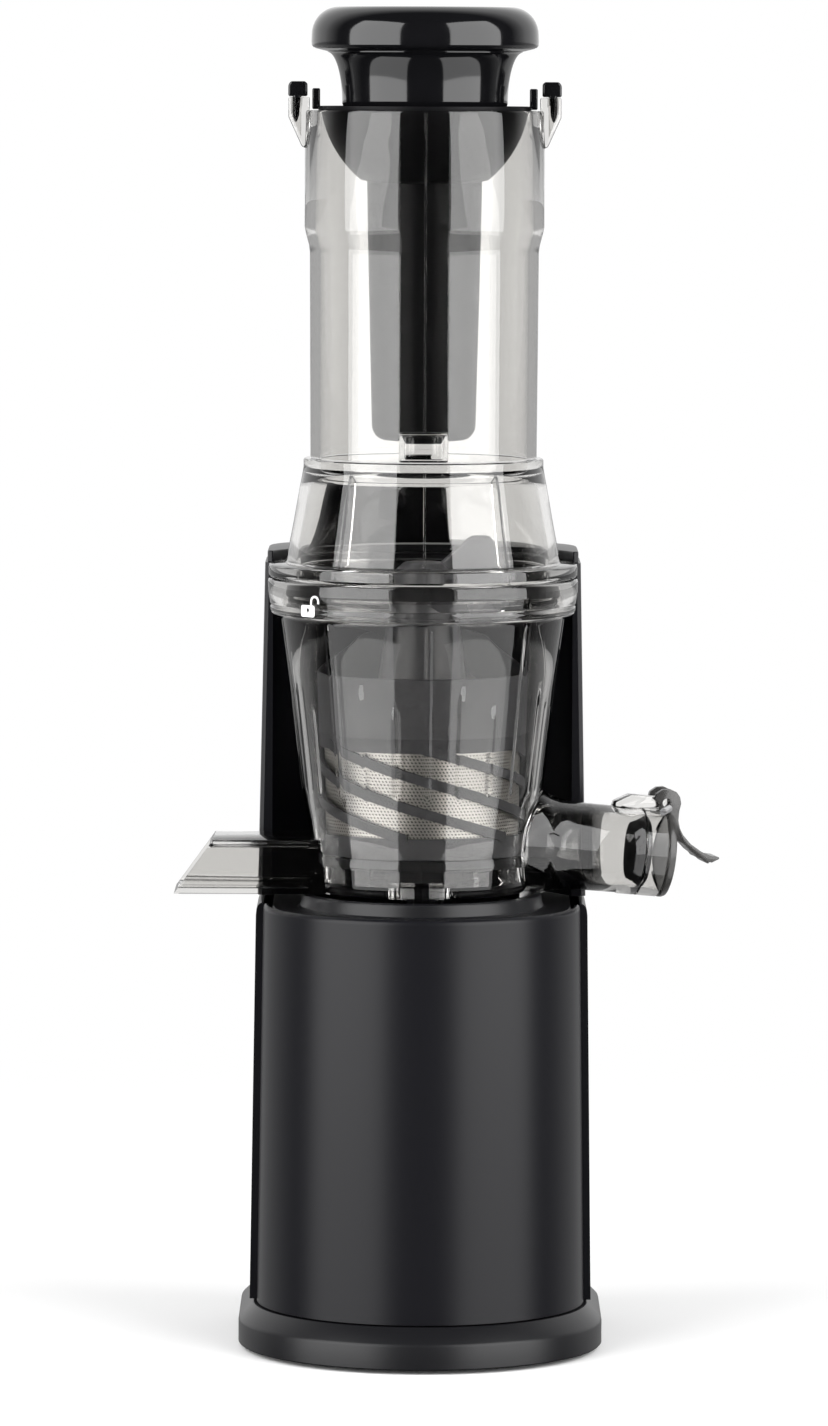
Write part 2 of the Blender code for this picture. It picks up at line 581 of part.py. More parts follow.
def make_cap(outlet):
    """Hinged stopper of the juice outlet. Its origin is on the hinge pin."""
    pin_x, pin_z = CAP_PIN
    place = (pin_x, 0, pin_z)
    disc = turned("juice_cap", [(0, 0.0850 - pin_x), (0.0140, 0.0850 - pin_x), (0.0149, 0.0841 - pin_x),
                  (0.0149, 0.0780 - pin_x), (0.0125, 0.0780 - pin_x), (0.0125, 0.0815 - pin_x),
                  (0, 0.0815 - pin_x)], 32, closed=False)
    for vert in disc.vertices:
        x, y, z = vert.co
        vert.co = (z, x, y - pin_z)
    cap = hang("juice_cap", disc, finish("Cap copolyester", "6a6a6d", 0.15, 0.0, 0.5), outlet, place)
    lever = [(0.0793, 0.0110), (0.0793, 0.0180), (0.0806, 0.0197), (0.0835, 0.0205), (0.0880, 0.0197),
             (0.0930, 0.0165), (0.0975, 0.0105), (0.1022, 0.0006), (0.1004, -0.0004), (0.0953, 0.0090),
             (0.0912, 0.0143), (0.0870, 0.0170), (0.0845, 0.0165), (0.0845, 0.0110)]
    arm = upright("cap_lever", [(x - pin_x, z - pin_z) for x, z in lever], -0.0064, 0.0064)
    join(cap, arm, outlet, place)
    cut(cap, block("hook_room", (-0.0050, -0.0038, -0.00235), (0.0029, 0.0038, 0.0100)), outlet, place)
    cut(cap, rod("pin_room", 0.0012 + GAP, -0.0100, 0.0100, "y", 12), outlet, place)
    hang("cap_hinge_pin", rod("cap_hinge_pin", 0.0012, -0.0062, 0.0062, "y", 12),
         finish("Hinge pin steel", "b0b2b4", 0.25, 1.0), outlet, place)

    seal = turned("cap_seal", [(0, 0.0776 - pin_x), (0.0145, 0.0776 - pin_x), (0.0145, 0.0748 - pin_x),
                  (0.0112, 0.0748 - pin_x), (0.0108, 0.0735 - pin_x), (0, 0.0735 - pin_x)], 32, closed=False)
    for vert in seal.vertices:
        x, y, z = vert.co
        vert.co = (z, x, y - pin_z)
    hang("cap_seal", seal, finish("Cap seal silicone", "151517", 0.6), outlet, place)


def make_auger(root):
    """Auger with its steel socket and wiper seal, all turning on the drum's axis."""
    core = [(0, 0.2640), (0.0070, 0.2625), (0.0110, 0.2560), (0.0130, 0.2350), (0.0185, 0.2100),
            (0.0250, 0.1860), (0.0285, 0.1760), (0.0285, AUGER_BOTTOM), (0.0079, AUGER_BOTTOM),
            (0.0079, 0.1920), (0, 0.1920)]
    auger = hang("auger", turned("auger", core, 28, closed=False), finish("Auger PPSU", "4a4a4d", 0.3), root)
    flight = helix("auger_flight", 0.0095, 0.0306, 0.0312, 0.1745, 0.2560, 1.9, math.radians(20), 0.0042, 34)
    join(auger, flight, root)
    blade = [(0.0040, 0.2480), (0.0260, 0.2480), (0.0290, 0.2600), (0.0270, 0.2700), (0.0200, 0.2750),
             (0.0110, 0.2720), (0.0040, 0.2620)]
    join(auger, upright("auger_blade", blade, -0.0024, 0.0024), root)
    socket = hang("auger_socket", rod("auger_socket", 0.0075, 0.1655, 0.1915, "z"),
                  finish("Auger socket steel", "b4b6b8", 0.3, 1.0), root)
    cut(socket, rod("socket_hex", HEX_RADIUS + 0.0004, 0.1600, 0.1890, "z", 6), root)
    wiper = [(0.0165, 0.1686), (0.0175, 0.1600), (0.0155, 0.1600), (0.0119, 0.1640), (0.0119, 0.1686)]
    hang("auger_seal", turned("auger_seal", wiper, SMALL_FACETS),
         finish("Auger seal silicone", "343436", 0.6), root)


def make_lid(root):
    """Lid with its seal, feed chute and feed gate."""
    clear = ("c9c9cb", 0.05, 0.0, 0.35)
    lid = [(0.0402, LID_TOP), (0.0402, 0.2975), (0.0414, 0.2910), (0.0435, 0.2790), (0.0462, 0.2652),
           (0.0512, 0.2650), (0.0518, 0.2642), (0.0518, LID_BOTTOM), (0.0450, LID_BOTTOM), (0.0446, 0.2548),
           (0.0428, 0.2548), (0.0430, 0.2660), (0.0405, 0.2790), (0.0384, 0.2910), (0.0372, 0.2950),
           (0.0348, 0.2975), (0.0348, LID_TOP)]
    hang("drum_lid", turned("drum_lid", lid), finish("Lid copolyester", *clear), root)
    seal = [(0.0468, 0.2592), (0.0468, 0.2556), (0.0451, 0.2556), (0.0451, 0.2592)]
    hang("lid_seal", turned("lid_seal", seal), finish("Lid seal silicone", "202022", 0.6), root)

    # guide wall inside the lid, round its left and back
    turn = math.radians(FUNNEL_END - FUNNEL_START)
    path = []
    for i in range(21):
        angle = math.radians(FUNNEL_START) + turn * i / 20
        path.append((Vector((0, 0)), Vector((math.cos(angle), math.sin(angle)))))
    section = [(0.0302, 0.2955), (0.0366, 0.2955), (0.0366, 0.2943), (0.0322, 0.2943), (0.0350, 0.2800),
               (0.0385, 0.2700), (0.0371, 0.2700), (0.0336, 0.2800)]
    hang("feed_funnel", wall("feed_funnel", path, section), finish("Funnel ABS", "18181a", 0.15), root)

    chute = [(0.0401, CHUTE_TOP), (0.0401, 0.3779), (0.0383, 0.3695), (0.0379, CHUTE_BOTTOM),
             (0.0348, CHUTE_BOTTOM), (0.0350, 0.3690), (0.0367, 0.3770), (0.0367, CHUTE_TOP)]
    feed = hang("feed_chute", turned("feed_chute", chute), finish("Chute copolyester", *clear), root)
    for side, name in ((1, "right"), (-1, "left")):
        ear = ((0.0385, 0.4037), (0.0410, 0.4045), (0.0455, 0.4144), (0.0455, 0.4211), (0.0385, 0.4211))
        ear = [(side * x, z) for x, z in ear]
        join(feed, upright(f"chute_ear_{name}", ear, -0.0055, 0.0055), root)
        latch = ((0.0380, 0.4214), (0.0456, 0.4214), (0.0456, 0.4253), (0.0448, 0.4263), (0.0388, 0.4263),
                 (0.0380, 0.4255))
        latch = [(side * x, z) for x, z in latch]
        hang(f"gate_latch_{name}", upright(f"gate_latch_{name}", latch, -0.0055, 0.0055),
             finish(f"Latch ABS {name}", "1a1a1c", 0.3), root)
    join(feed, block("chute_lug", (-0.0083, -0.0405, CHUTE_BOTTOM), (0.0083, -0.0360, 0.3110)), root)

    bowl = []
    for sphere, order in ((GATE_SPHERE, 1), (GATE_BORE, -1)):
        arc = []
        for i in range(6):
            z = 0.4184 - (0.4184 - 0.3916) * i / 5
            arc.append((math.sqrt(sphere ** 2 - (GATE_CENTRE - z) ** 2), z))
        bowl += arc[::order]
    gate = hang("feed_gate", turned("feed_gate", bowl, 28), finish("Gate ABS", "161618", 0.15), root)
    for side, name in ((1, "right"), (-1, "left")):
        low, high = sorted((side * 0.0349, side * 0.0376))
        join(gate, block(f"gate_tab_{name}", (low, -0.0035, 0.4172), (high, 0.0035, 0.4240)), root)


def make_pusher(root):
    """Pusher: a mushroom knob on a hollow-looking stem."""
    knob = [(0, PUSHER_TOP), (0.0300, PUSHER_TOP), (0.0345, 0.4500), (0.0372, 0.4470), (0.0379, 0.4430),
            (0.0376, 0.4385), (0.0366, 0.4368), (0.0328, 0.4362), (0.0305, 0.4315), (0.0285, 0.4260),
            (0.0278, 0.4180), (0, 0.4180)]
    hang("pusher_knob", turned("pusher_knob", knob, FACETS, closed=False),
         finish("Knob ABS", "141416", 0.12), root)
    stem = [(0, 0.4177), (0.0276, 0.4177), (0.0262, 0.4130), (0.0228, 0.4040), (0.0200, 0.3975),
            (0.0193, 0.3900), (0.0174, 0.3120), (0.0168, 0.3082), (0.0150, 0.3068), (0, 0.3066)]
    hang("pusher_stem", turned("pusher_stem", stem, 32, closed=False),
         finish("Stem ABS", "161618", 0.15), root)


def main():
    clear_scene()
    root = bpy.data.objects.new("juicer", None)
    root.location = DRUM_AXIS
    bpy.context.scene.collection.objects.link(root)
    outlet = bpy.data.objects.new("outlet_axis", None)
    outlet.parent = root
    outlet.location = (0, 0, OUTLET_Z)
    outlet.rotation_euler = (0, OUTLET_DIP, -OUTLET_YAW)
    bpy.context.scene.collection.objects.link(outlet)

    make_base(root)
    make_housing(root)
    make_motor(root)
    make_train(root)
    make_controls(root)
    make_drum(root, outlet)
    make_cap(outlet)
    make_auger(root)
    make_lid(root)
    make_pusher(root)


main()
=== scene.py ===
import bmesh
import bpy
import json
import math
from mathutils import Matrix, Vector

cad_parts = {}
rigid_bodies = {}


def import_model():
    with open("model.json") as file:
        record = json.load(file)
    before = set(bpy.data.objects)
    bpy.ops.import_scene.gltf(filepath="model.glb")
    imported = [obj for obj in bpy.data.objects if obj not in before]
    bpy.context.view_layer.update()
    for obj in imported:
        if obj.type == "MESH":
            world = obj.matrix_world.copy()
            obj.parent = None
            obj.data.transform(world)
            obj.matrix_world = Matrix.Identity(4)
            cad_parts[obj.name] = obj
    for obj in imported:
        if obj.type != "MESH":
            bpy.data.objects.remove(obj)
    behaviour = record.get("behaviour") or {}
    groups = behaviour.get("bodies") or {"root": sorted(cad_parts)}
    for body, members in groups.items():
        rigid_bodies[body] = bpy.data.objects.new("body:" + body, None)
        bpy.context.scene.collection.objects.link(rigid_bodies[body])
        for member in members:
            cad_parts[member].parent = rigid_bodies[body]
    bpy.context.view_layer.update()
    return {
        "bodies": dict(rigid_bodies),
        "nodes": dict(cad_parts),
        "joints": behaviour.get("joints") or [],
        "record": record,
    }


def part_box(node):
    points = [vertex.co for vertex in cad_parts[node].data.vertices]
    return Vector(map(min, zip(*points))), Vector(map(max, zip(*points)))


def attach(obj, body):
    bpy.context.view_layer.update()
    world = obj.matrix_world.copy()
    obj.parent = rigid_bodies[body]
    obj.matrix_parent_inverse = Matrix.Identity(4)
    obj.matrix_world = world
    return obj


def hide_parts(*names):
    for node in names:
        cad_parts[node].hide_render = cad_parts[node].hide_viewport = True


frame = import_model()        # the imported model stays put, everything below is dressed round it
bpy.context.scene.view_settings.view_transform = "Standard"

drumLow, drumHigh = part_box("juicing_drum")
axisX = (drumLow.x + drumHigh.x) / 2
axisY = (drumLow.y + drumHigh.y) / 2
joints = {joint["name"]: joint for joint in frame["joints"]}
hingeAxis = Vector(joints["cap_hinge"]["axis"])
outlet = {"dip": math.radians(5.5), "yaw": math.atan2(hingeAxis.x, -hingeAxis.y), "height": 0.1742}
print("frame loaded")


def heightsOf(part):
    low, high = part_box(part)
    return low.z, high.z


def mirrored(tree):
    # 1 for light that has bounced off a shiny face, 0 for light seen straight or through a clear wall
    light = addNode(tree, "ShaderNodeLightPath")
    bounced = addNode(tree, "ShaderNodeMath", {1: 0.5}, {0: light.outputs["Glossy Depth"]},
                      operation="GREATER_THAN")
    sharp = addNode(tree, "ShaderNodeMath", {0: 1.0}, {1: light.outputs["Is Diffuse Ray"]},
                    operation="SUBTRACT")
    both = addNode(tree, "ShaderNodeMath", None, {0: bounced.outputs[0], 1: sharp.outputs[0]},
                   operation="MULTIPLY")
    return both.outputs[0], light.outputs["Is Diffuse Ray"]


def toLinear(value):
    return value / 12.92 if value <= 0.04045 else ((value + 0.055) / 1.055) ** 2.4


def hexColour(code):
    return [toLinear(int(code[i:i + 2], 16) / 255) for i in (0, 2, 4)] + [1]


def addNode(tree, kind, values=None, links=None, **settings):
    new = tree.nodes.new(kind)
    for key, value in settings.items():
        setattr(new, key, value)
    for socket, value in (values or {}).items():
        new.inputs[socket].default_value = value
    for socket, source in (links or {}).items():
        tree.links.new(source, new.inputs[socket])
    return new


def newMaterial(name, **values):
    material = bpy.data.materials.new(name)
    material.use_nodes = True
    shader = material.node_tree.nodes["Principled BSDF"]
    for socket, value in values.items():
        shader.inputs[socket.replace("_", " ")].default_value = value
    return material, material.node_tree, shader


def clearSelection():
    if bpy.context.object and bpy.context.object.mode != "OBJECT":
        bpy.ops.object.mode_set(mode="OBJECT")
    bpy.ops.object.select_all(action="DESELECT")


def makeActive(piece):
    clearSelection()
    piece.select_set(True)
    bpy.context.view_layer.objects.active = piece


def nameNew(name):
    piece = bpy.context.object
    piece.name = piece.data.name = name
    return piece


def closeEdit(piece):
    # turns all faces outward and leaves edit mode
    bpy.ops.mesh.select_all(action="SELECT")
    bpy.ops.mesh.normals_make_consistent(inside=False)
    bpy.ops.object.mode_set(mode="OBJECT")
    return piece


def editPiece(piece):
    makeActive(piece)
    bpy.ops.object.mode_set(mode="EDIT")
    bpy.ops.mesh.select_mode(type="FACE")


def pickFaces(piece, test):
    bpy.ops.mesh.select_all(action="DESELECT")
    bm = bmesh.from_edit_mesh(piece.data)
    shift = piece.location
    for face in bm.faces:
        face.select_set(test(face.calc_center_median() + shift, face.normal))
    bmesh.update_edit_mesh(piece.data)


def applyModifier(piece, kind, **settings):
    makeActive(piece)
    modifier = piece.modifiers.new(kind.title(), kind)
    for key, value in settings.items():
        setattr(modifier, key, value)
    bpy.ops.object.modifier_apply(modifier=modifier.name)


def combine(piece, tool, operation="DIFFERENCE"):
    applyModifier(piece, "BOOLEAN", operation=operation, object=tool, solver="EXACT")
    bpy.data.objects.remove(tool, do_unlink=True)
    return piece


def roundEdges(piece, width, segments=3, angle=35):
    applyModifier(piece, "BEVEL", width=width, segments=segments, limit_method="ANGLE",
                  angle_limit=math.radians(angle), harden_normals=False)
    return piece


def settle(piece):
    makeActive(piece)
    bpy.ops.object.transform_apply(location=True, rotation=True, scale=True)
    return piece


def finishPiece(piece, body, material, slotName, *stands, angle=32):
    settle(piece)
    piece.data.materials.clear()
    piece.data.materials.append(material)
    bpy.ops.object.shade_smooth_by_angle(angle=math.radians(angle))
    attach(piece, body)
    if stands:
        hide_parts(*stands)
    return piece


def ringStack(name, rings, segments=160, closed=False, outline=None, centre=None):
    # a circle pulled through rings of (radius, height), then capped, or closed on itself as a wall
    cx, cy = centre or (axisX, axisY)
    clearSelection()
    radius, height = rings[0]
    bpy.ops.mesh.primitive_circle_add(vertices=segments, radius=radius, location=(cx, cy, height))
    piece = nameNew(name)
    if outline:
        for vert in piece.data.vertices:
            vert.co *= outline(math.atan2(vert.co.y, vert.co.x), radius)
    bpy.ops.object.mode_set(mode="EDIT")
    bpy.ops.mesh.select_mode(type="VERT")
    bpy.ops.mesh.select_all(action="SELECT")
    for nextRadius, nextHeight in rings[1:]:
        bpy.ops.mesh.extrude_region_move(TRANSFORM_OT_translate={"value": (0, 0, nextHeight - height)})
        scale = nextRadius / radius
        bpy.ops.transform.resize(value=(scale, scale, 1), center_override=(cx, cy, nextHeight))
        radius, height = nextRadius, nextHeight
    bpy.ops.mesh.select_all(action="SELECT")
    if closed:
        bpy.ops.mesh.remove_doubles(threshold=1e-6)
    else:
        bpy.ops.mesh.fill_holes(sides=0)
    return settle(closeEdit(piece))


def wallStack(name, rings, **settings):
    return ringStack(name, rings + [rings[0]], closed=True, **settings)


def curveRings(start, end, bulge, steps=8):
    # quarter ellipse between two (radius, height) points; "out" leaves sideways first, "in" upright first
    points = []
    for i in range(steps + 1):
        turn = math.pi / 2 * i / steps
        along, across = math.sin(turn), 1 - math.cos(turn)
        if bulge == "in":
            along, across = across, along
        points.append((start[0] + (end[0] - start[0]) * along, start[1] + (end[1] - start[1]) * across))
    return points


def boxPiece(name, low, high):
    clearSelection()
    middle = [(a + b) / 2 for a, b in zip(low, high)]
    bpy.ops.mesh.primitive_cube_add(size=1, location=middle)
    piece = nameNew(name)
    piece.dimensions = [b - a for a, b in zip(low, high)]
    return settle(piece)


def rodPiece(name, radius, start, end, vertices=48):
    # round bar between two points
    clearSelection()
    start, end = Vector(start), Vector(end)
    bpy.ops.mesh.primitive_cylinder_add(vertices=vertices, radius=radius, depth=(end - start).length,
                                        location=(start + end) / 2)
    piece = nameNew(name)
    piece.rotation_euler = (end - start).to_track_quat("Z", "Y").to_euler()
    return settle(piece)


def platePiece(name, outline, low, high, across="y"):
    # flat outline of (along, height) points pulled across y or x, or (x, y) points pulled up z
    clearSelection()
    bpy.ops.mesh.primitive_circle_add(vertices=len(outline), radius=0.01, fill_type="NGON")
    piece = nameNew(name)
    for vert, (a, b) in zip(piece.data.vertices, outline):
        vert.co = {"y": (a, low, b), "x": (low, a, b), "z": (a, b, low)}[across]
    shift = {"y": (0, high - low, 0), "x": (high - low, 0, 0), "z": (0, 0, high - low)}[across]
    bpy.ops.object.mode_set(mode="EDIT")
    bpy.ops.mesh.select_all(action="SELECT")
    bpy.ops.mesh.extrude_region_move(TRANSFORM_OT_translate={"value": shift})
    return closeEdit(piece)


def lieDown(piece):
    # a stack of rings drawn upright is turned to lie along x
    piece.rotation_euler = (0, math.radians(90), 0)
    return settle(piece)


def turnRound(piece, turn, start=None):
    # turns a piece about the drum's axis, after an optional start shift
    piece.matrix_world = (Matrix.Translation((axisX, axisY, 0)) @ Matrix.Rotation(turn, 4, "Z")
                          @ Matrix.Translation(start or (-axisX, -axisY, 0)))
    return settle(piece)


def toOutlet(piece):
    # from drawing along x at the origin to the sloping, turned outlet
    piece.rotation_euler = (0, outlet["dip"], -outlet["yaw"])
    piece.location = (axisX, axisY, outlet["height"])
    return settle(piece)


def squareBack(rear, start, power=2.6):
    # how far a round plan is stretched: half circle in front, straight sides, rounded square back
    def reach(angle, radius):
        across, along = abs(math.cos(angle)), math.sin(angle)
        if along <= 0:
            return 1
        low, high = 1.0, 3.0
        for _ in range(40):
            middle = (low + high) / 2
            x, y = across * middle, along * middle * radius
            inside = x <= 1 if y <= start else x ** power + ((y - start) / (rear - start)) ** power <= 1
            low, high = (middle, high) if inside else (low, middle)
        return low
    return reach


def roughGrain(tree, shader, scale, low, high, bump=0.0, distance=0.0002, detail=3):
    # noise on object coordinates drives the roughness between low and high, and a shallow relief
    place = addNode(tree, "ShaderNodeTexCoord")
    noise = addNode(tree, "ShaderNodeTexNoise", {"Scale": scale, "Detail": detail},
                    {"Vector": place.outputs["Object"]})
    spread = addNode(tree, "ShaderNodeMapRange", {"To Min": low, "To Max": high},
                     {"Value": noise.outputs["Fac"]})
    tree.links.new(spread.outputs["Result"], shader.inputs["Roughness"])
    if bump:
        relief = addNode(tree, "ShaderNodeBump", {"Strength": bump, "Distance": distance},
                         {"Height": noise.outputs["Fac"]})
        tree.links.new(relief.outputs["Normal"], shader.inputs["Normal"])
    return noise


def tintSpread(tree, shader, noise, dark, light):
    # the same noise moves the colour a little between two shades
    mix = addNode(tree, "ShaderNodeMix", {6: hexColour(dark), 7: hexColour(light)},    # the colour sockets
                  {0: noise.outputs["Fac"]}, data_type="RGBA")
    tree.links.new(mix.outputs[2], shader.inputs["Base Color"])


def grainedFinish(name, dark, light, low, high, scale=600, bump=0.06, distance=0.0001, ior=1.5,
                  specular=0.5):
    # one noise moves the roughness, a shallow relief and the colour
    material, tree, shader = newMaterial(name, IOR=ior, Specular_IOR_Level=specular)
    noise = roughGrain(tree, shader, scale, low, high, bump=bump, distance=distance)
    tintSpread(tree, shader, noise, dark, light)
    return material


def clearFinish():
    # smoke-tinted copolyester, injection moulded: clear, faintly wavy
    material, tree, shader = newMaterial("smoke-tinted copolyester", IOR=1.5, Transmission_Weight=1.0,
                                         Base_Color=hexColour("e8e7e5"), Roughness=0.0)
    place = addNode(tree, "ShaderNodeTexCoord")
    waves = addNode(tree, "ShaderNodeTexNoise", {"Scale": 45, "Detail": 1},    # waves about 20 mm long
                    {"Vector": place.outputs["Object"]})
    relief = addNode(tree, "ShaderNodeBump", {"Strength": 0.05, "Distance": 0.0006},
                     {"Height": waves.outputs["Fac"]})
    tree.links.new(relief.outputs["Normal"], shader.inputs["Normal"])
    return material


def darkClearFinish():
    # the stopper's deeper smoke tint, half cloudy
    material, tree, shader = newMaterial("dark smoke copolyester", IOR=1.5, Transmission_Weight=0.3,
                                         Base_Color=hexColour("3d3c3b"))
    roughGrain(tree, shader, 200, 0.15, 0.28, bump=0.05, distance=0.0003)
    return material


def steelFinish(name, dark, light, low, high):
    # brushed or ground stainless steel, lines round the axis
    material, tree, shader = newMaterial(name, Metallic=1.0)
    place = addNode(tree, "ShaderNodeTexCoord")
    # lines 0.2 mm apart and 17 mm long
    stretch = addNode(tree, "ShaderNodeMapping", {"Scale": (60, 60, 4500)},
                      {"Vector": place.outputs["Object"]})
    lines = addNode(tree, "ShaderNodeTexNoise", {"Scale": 1.0, "Detail": 2},
                    {"Vector": stretch.outputs["Vector"]})
    spread = addNode(tree, "ShaderNodeMapRange", {"To Min": low, "To Max": high},
                     {"Value": lines.outputs["Fac"]})
    tree.links.new(spread.outputs["Result"], shader.inputs["Roughness"])
    relief = addNode(tree, "ShaderNodeBump", {"Strength": 0.06, "Distance": 0.00004},
                     {"Height": lines.outputs["Fac"]})
    tree.links.new(relief.outputs["Normal"], shader.inputs["Normal"])
    tintSpread(tree, shader, lines, dark, light)
    return material


# spark-eroded grain: dark with soft broad highlights
satinShell = grainedFinish("satin moulded ABS", "0b0b0e", "111115", 0.28, 0.36, 2600, 0.10, 0.00006,
                           specular=0.24)
# polished mould: near black with sharp lamp reflections
glossBlack = grainedFinish("gloss moulded ABS", "080809", "0e0e10", 0.06, 0.11, 140, 0.02, 0.0004)
# blasted mould: black with hardly any sheen
mattBlack = grainedFinish("matt moulded ABS", "0a0a0b", "101012", 0.30, 0.42, 2600, 0.10, 0.00006,
                          specular=0.12)
# finer grain: the lower sheen of the deck and foot
deckBlack = grainedFinish("fine-grained ABS", "0b0b0d", "121215", 0.30, 0.40, 3200, 0.15, 0.00006,
                          specular=0.34)
clearSmoke = clearFinish()
darkSmoke = darkClearFinish()
# pressed silicone and rubber: matt, with a dusty bloom
bloom = {"scale": 900, "bump": 0.1, "distance": 0.00008, "ior": 1.42}
blackSilicone = grainedFinish("black silicone", "101011", "1b1b1d", 0.5, 0.72, **bloom)
greySilicone = grainedFinish("dark grey silicone", "2b2b2d", "38383a", 0.5, 0.72, **bloom)
blackRubber = grainedFinish("black rubber", "121213", "1d1d1f", 0.5, 0.72, **bloom)
perforatedSteel = steelFinish("perforated stainless steel", "bebbb6", "d2cfca", 0.36, 0.48)
groundSteel = steelFinish("ground steel", "a8a8a9", "c6c6c7", 0.2, 0.35)
# painted shade: dark colour for the drive shaft and auger socket, which are plain steel, standing in for the
# shade in the drum's foot
paintedShadeSteel = steelFinish("steel painted dark as shade", "1c1c1e", "2a2a2c", 0.4, 0.55)
motorSteel = steelFinish("laminated motor steel", "56585b", "77797c", 0.4, 0.55)
# moulded or sheet parts inside, half matt, as they come from the mould
strainerNylon = grainedFinish("strainer nylon", "37373a", "434346", 0.42, 0.55)
augerPlastic = grainedFinish("auger PPSU", "4a4a4d", "57575a", 0.28, 0.4, 300)
gearAcetal = grainedFinish("gear acetal", "cfcdc4", "dedcd4", 0.35, 0.5)
innerNylon = grainedFinish("inner nylon", "26282a", "34363a", 0.5, 0.65)
boardLaminate = grainedFinish("board laminate", "214a2d", "2d5f3a", 0.4, 0.55)
# pad printing: flat white with a chalky surface
whiteInk = grainedFinish("pad-printed ink", "e6e6e6", "f4f4f4", 0.45, 0.6, 3000, 0.0, ior=1.45)
print("finishes ready")


def setStage():
    stage = {"distance": 2.6, "height": 0.43, "aimHeight": 0.2147, "aimSide": -0.00285, "lens": 195.9,
             "roll": 0.23, "floor": 14}
    lamps = {"angle": 53.5, "reach": 1.35, "height": 0.75, "width": 1.46, "tall": 2.3, "strength": 4.6}
    aim = Vector((axisX + stage["aimSide"], axisY, stage["aimHeight"]))
    spot = Vector((aim.x, axisY - stage["distance"], stage["height"]))
    bpy.ops.object.camera_add(location=spot)
    camera = bpy.context.object
    camera.name = "camera"
    camera.rotation_euler = (aim - spot).to_track_quat("-Z", "Y").to_euler()
    camera.rotation_euler.rotate_axis("Z", math.radians(stage["roll"]))
    camera.data.sensor_fit = "AUTO"
    camera.data.sensor_width = 36
    camera.data.lens = stage["lens"]
    camera.data.clip_end = 50
    bpy.context.scene.camera = camera

    turn = math.radians(lamps["angle"])
    middle = Vector((axisX, axisY, lamps["height"]))
    for side, sign in (("left", -1), ("right", 1)):
        place = middle + Vector((sign * lamps["reach"] * math.sin(turn), -lamps["reach"] * math.cos(turn), 0))
        bpy.ops.object.light_add(type="AREA", location=place)
        lamp = bpy.context.object
        lamp.name = f"softbox_{side}"
        lamp.data.shape = "RECTANGLE"
        lamp.data.size = lamps["width"]
        lamp.data.size_y = lamps["tall"]
        lamp.data.energy = lamps["strength"] * math.pi * lamps["width"] * lamps["tall"]
        lamp.rotation_euler = (middle - place).to_track_quat("-Z", "Y").to_euler()

    bpy.ops.mesh.primitive_circle_add(vertices=96, radius=stage["floor"], fill_type="NGON",
                                      location=(0, 0, 0))
    floor = bpy.context.object
    floor.name = "floor"
    material = bpy.data.materials.new("white paper sweep")
    material.use_nodes = True
    tree = material.node_tree
    paper = tree.nodes["Principled BSDF"]
    paper.inputs["Base Color"].default_value = hexColour("f2f2f2")
    paper.inputs["Roughness"].default_value = 0.9
    paper.inputs["Specular IOR Level"].default_value = 0.0
    glossy, _ = mirrored(tree)
    place = addNode(tree, "ShaderNodeTexCoord")
    away = addNode(tree, "ShaderNodeVectorMath", None, {0: place.outputs["Object"]}, operation="LENGTH")
    fade = addNode(tree, "ShaderNodeMapRange", {"From Min": 0.12, "From Max": 0.75},
                   {"Value": away.outputs["Value"]}, interpolation_type="SMOOTHSTEP")
    glow = addNode(tree, "ShaderNodeEmission", {"Color": (1, 1, 1, 1), "Strength": 1.0})
    lit = addNode(tree, "ShaderNodeMixShader", None, {"Fac": fade.outputs[0], 1: paper.outputs[0],
                                                      2: glow.outputs[0]})
    # in reflections the floor is a glossy board that carries the lamps' images on downwards
    dark = addNode(tree, "ShaderNodeBsdfAnisotropic", {"Color": hexColour("b4b4b4"), "Roughness": 0.03})
    mix = addNode(tree, "ShaderNodeMixShader", None, {"Fac": glossy, 1: lit.outputs[0], 2: dark.outputs[0]})
    tree.links.new(mix.outputs[0], tree.nodes["Material Output"].inputs["Surface"])
    floor.data.materials.append(material)

    world = bpy.data.worlds.new("studio")
    bpy.context.scene.world = world
    world.use_nodes = True
    tree = world.node_tree
    back = tree.nodes["Background"]
    glossy, diffuse = mirrored(tree)
    fill = addNode(tree, "ShaderNodeMapRange", {"From Min": 0, "From Max": 1, "To Min": 1.0, "To Max": 0.62},
                   {"Value": diffuse})
    way = addNode(tree, "ShaderNodeTexCoord")
    split = addNode(tree, "ShaderNodeSeparateXYZ", None, {"Vector": way.outputs["Generated"]})
    # in reflections the room is dark in front and on the sides, and white behind
    behind = addNode(tree, "ShaderNodeMapRange",
                     {"From Min": 0.15, "From Max": 0.55, "To Min": 0.02, "To Max": 1.0},
                     {"Value": split.outputs["Y"]})
    shine = addNode(tree, "ShaderNodeMix", None, {"Factor": glossy, "A": fill.outputs[0],
                                                  "B": behind.outputs[0]})
    tree.links.new(shine.outputs[0], back.inputs["Strength"])
    back.inputs["Color"].default_value = (1, 1, 1, 1)


setStage()
print("camera and lamps placed")


def ringsAlong(points, spacing):
    # adds even rings on the long straights of an outline
    rings = [points[0]]
    for (r0, z0), (r1, z1) in zip(points, points[1:]):
        steps = max(1, round(math.hypot(r1 - r0, z1 - z0) / spacing))
        rings += [(r0 + (r1 - r0) * i / steps, z0 + (z1 - z0) * i / steps) for i in range(1, steps + 1)]
    return rings


def frontAngle(point):
    # degrees round the drum's axis, 0 straight ahead and positive to the right
    return math.degrees(math.atan2(point.x - axisX, axisY - point.y))


def axisReach(point):
    return math.hypot(point.x - axisX, point.y - axisY)


def raisePicked(width, height):
    bpy.ops.mesh.inset(thickness=width, depth=height, use_even_offset=True, use_boundary=True)


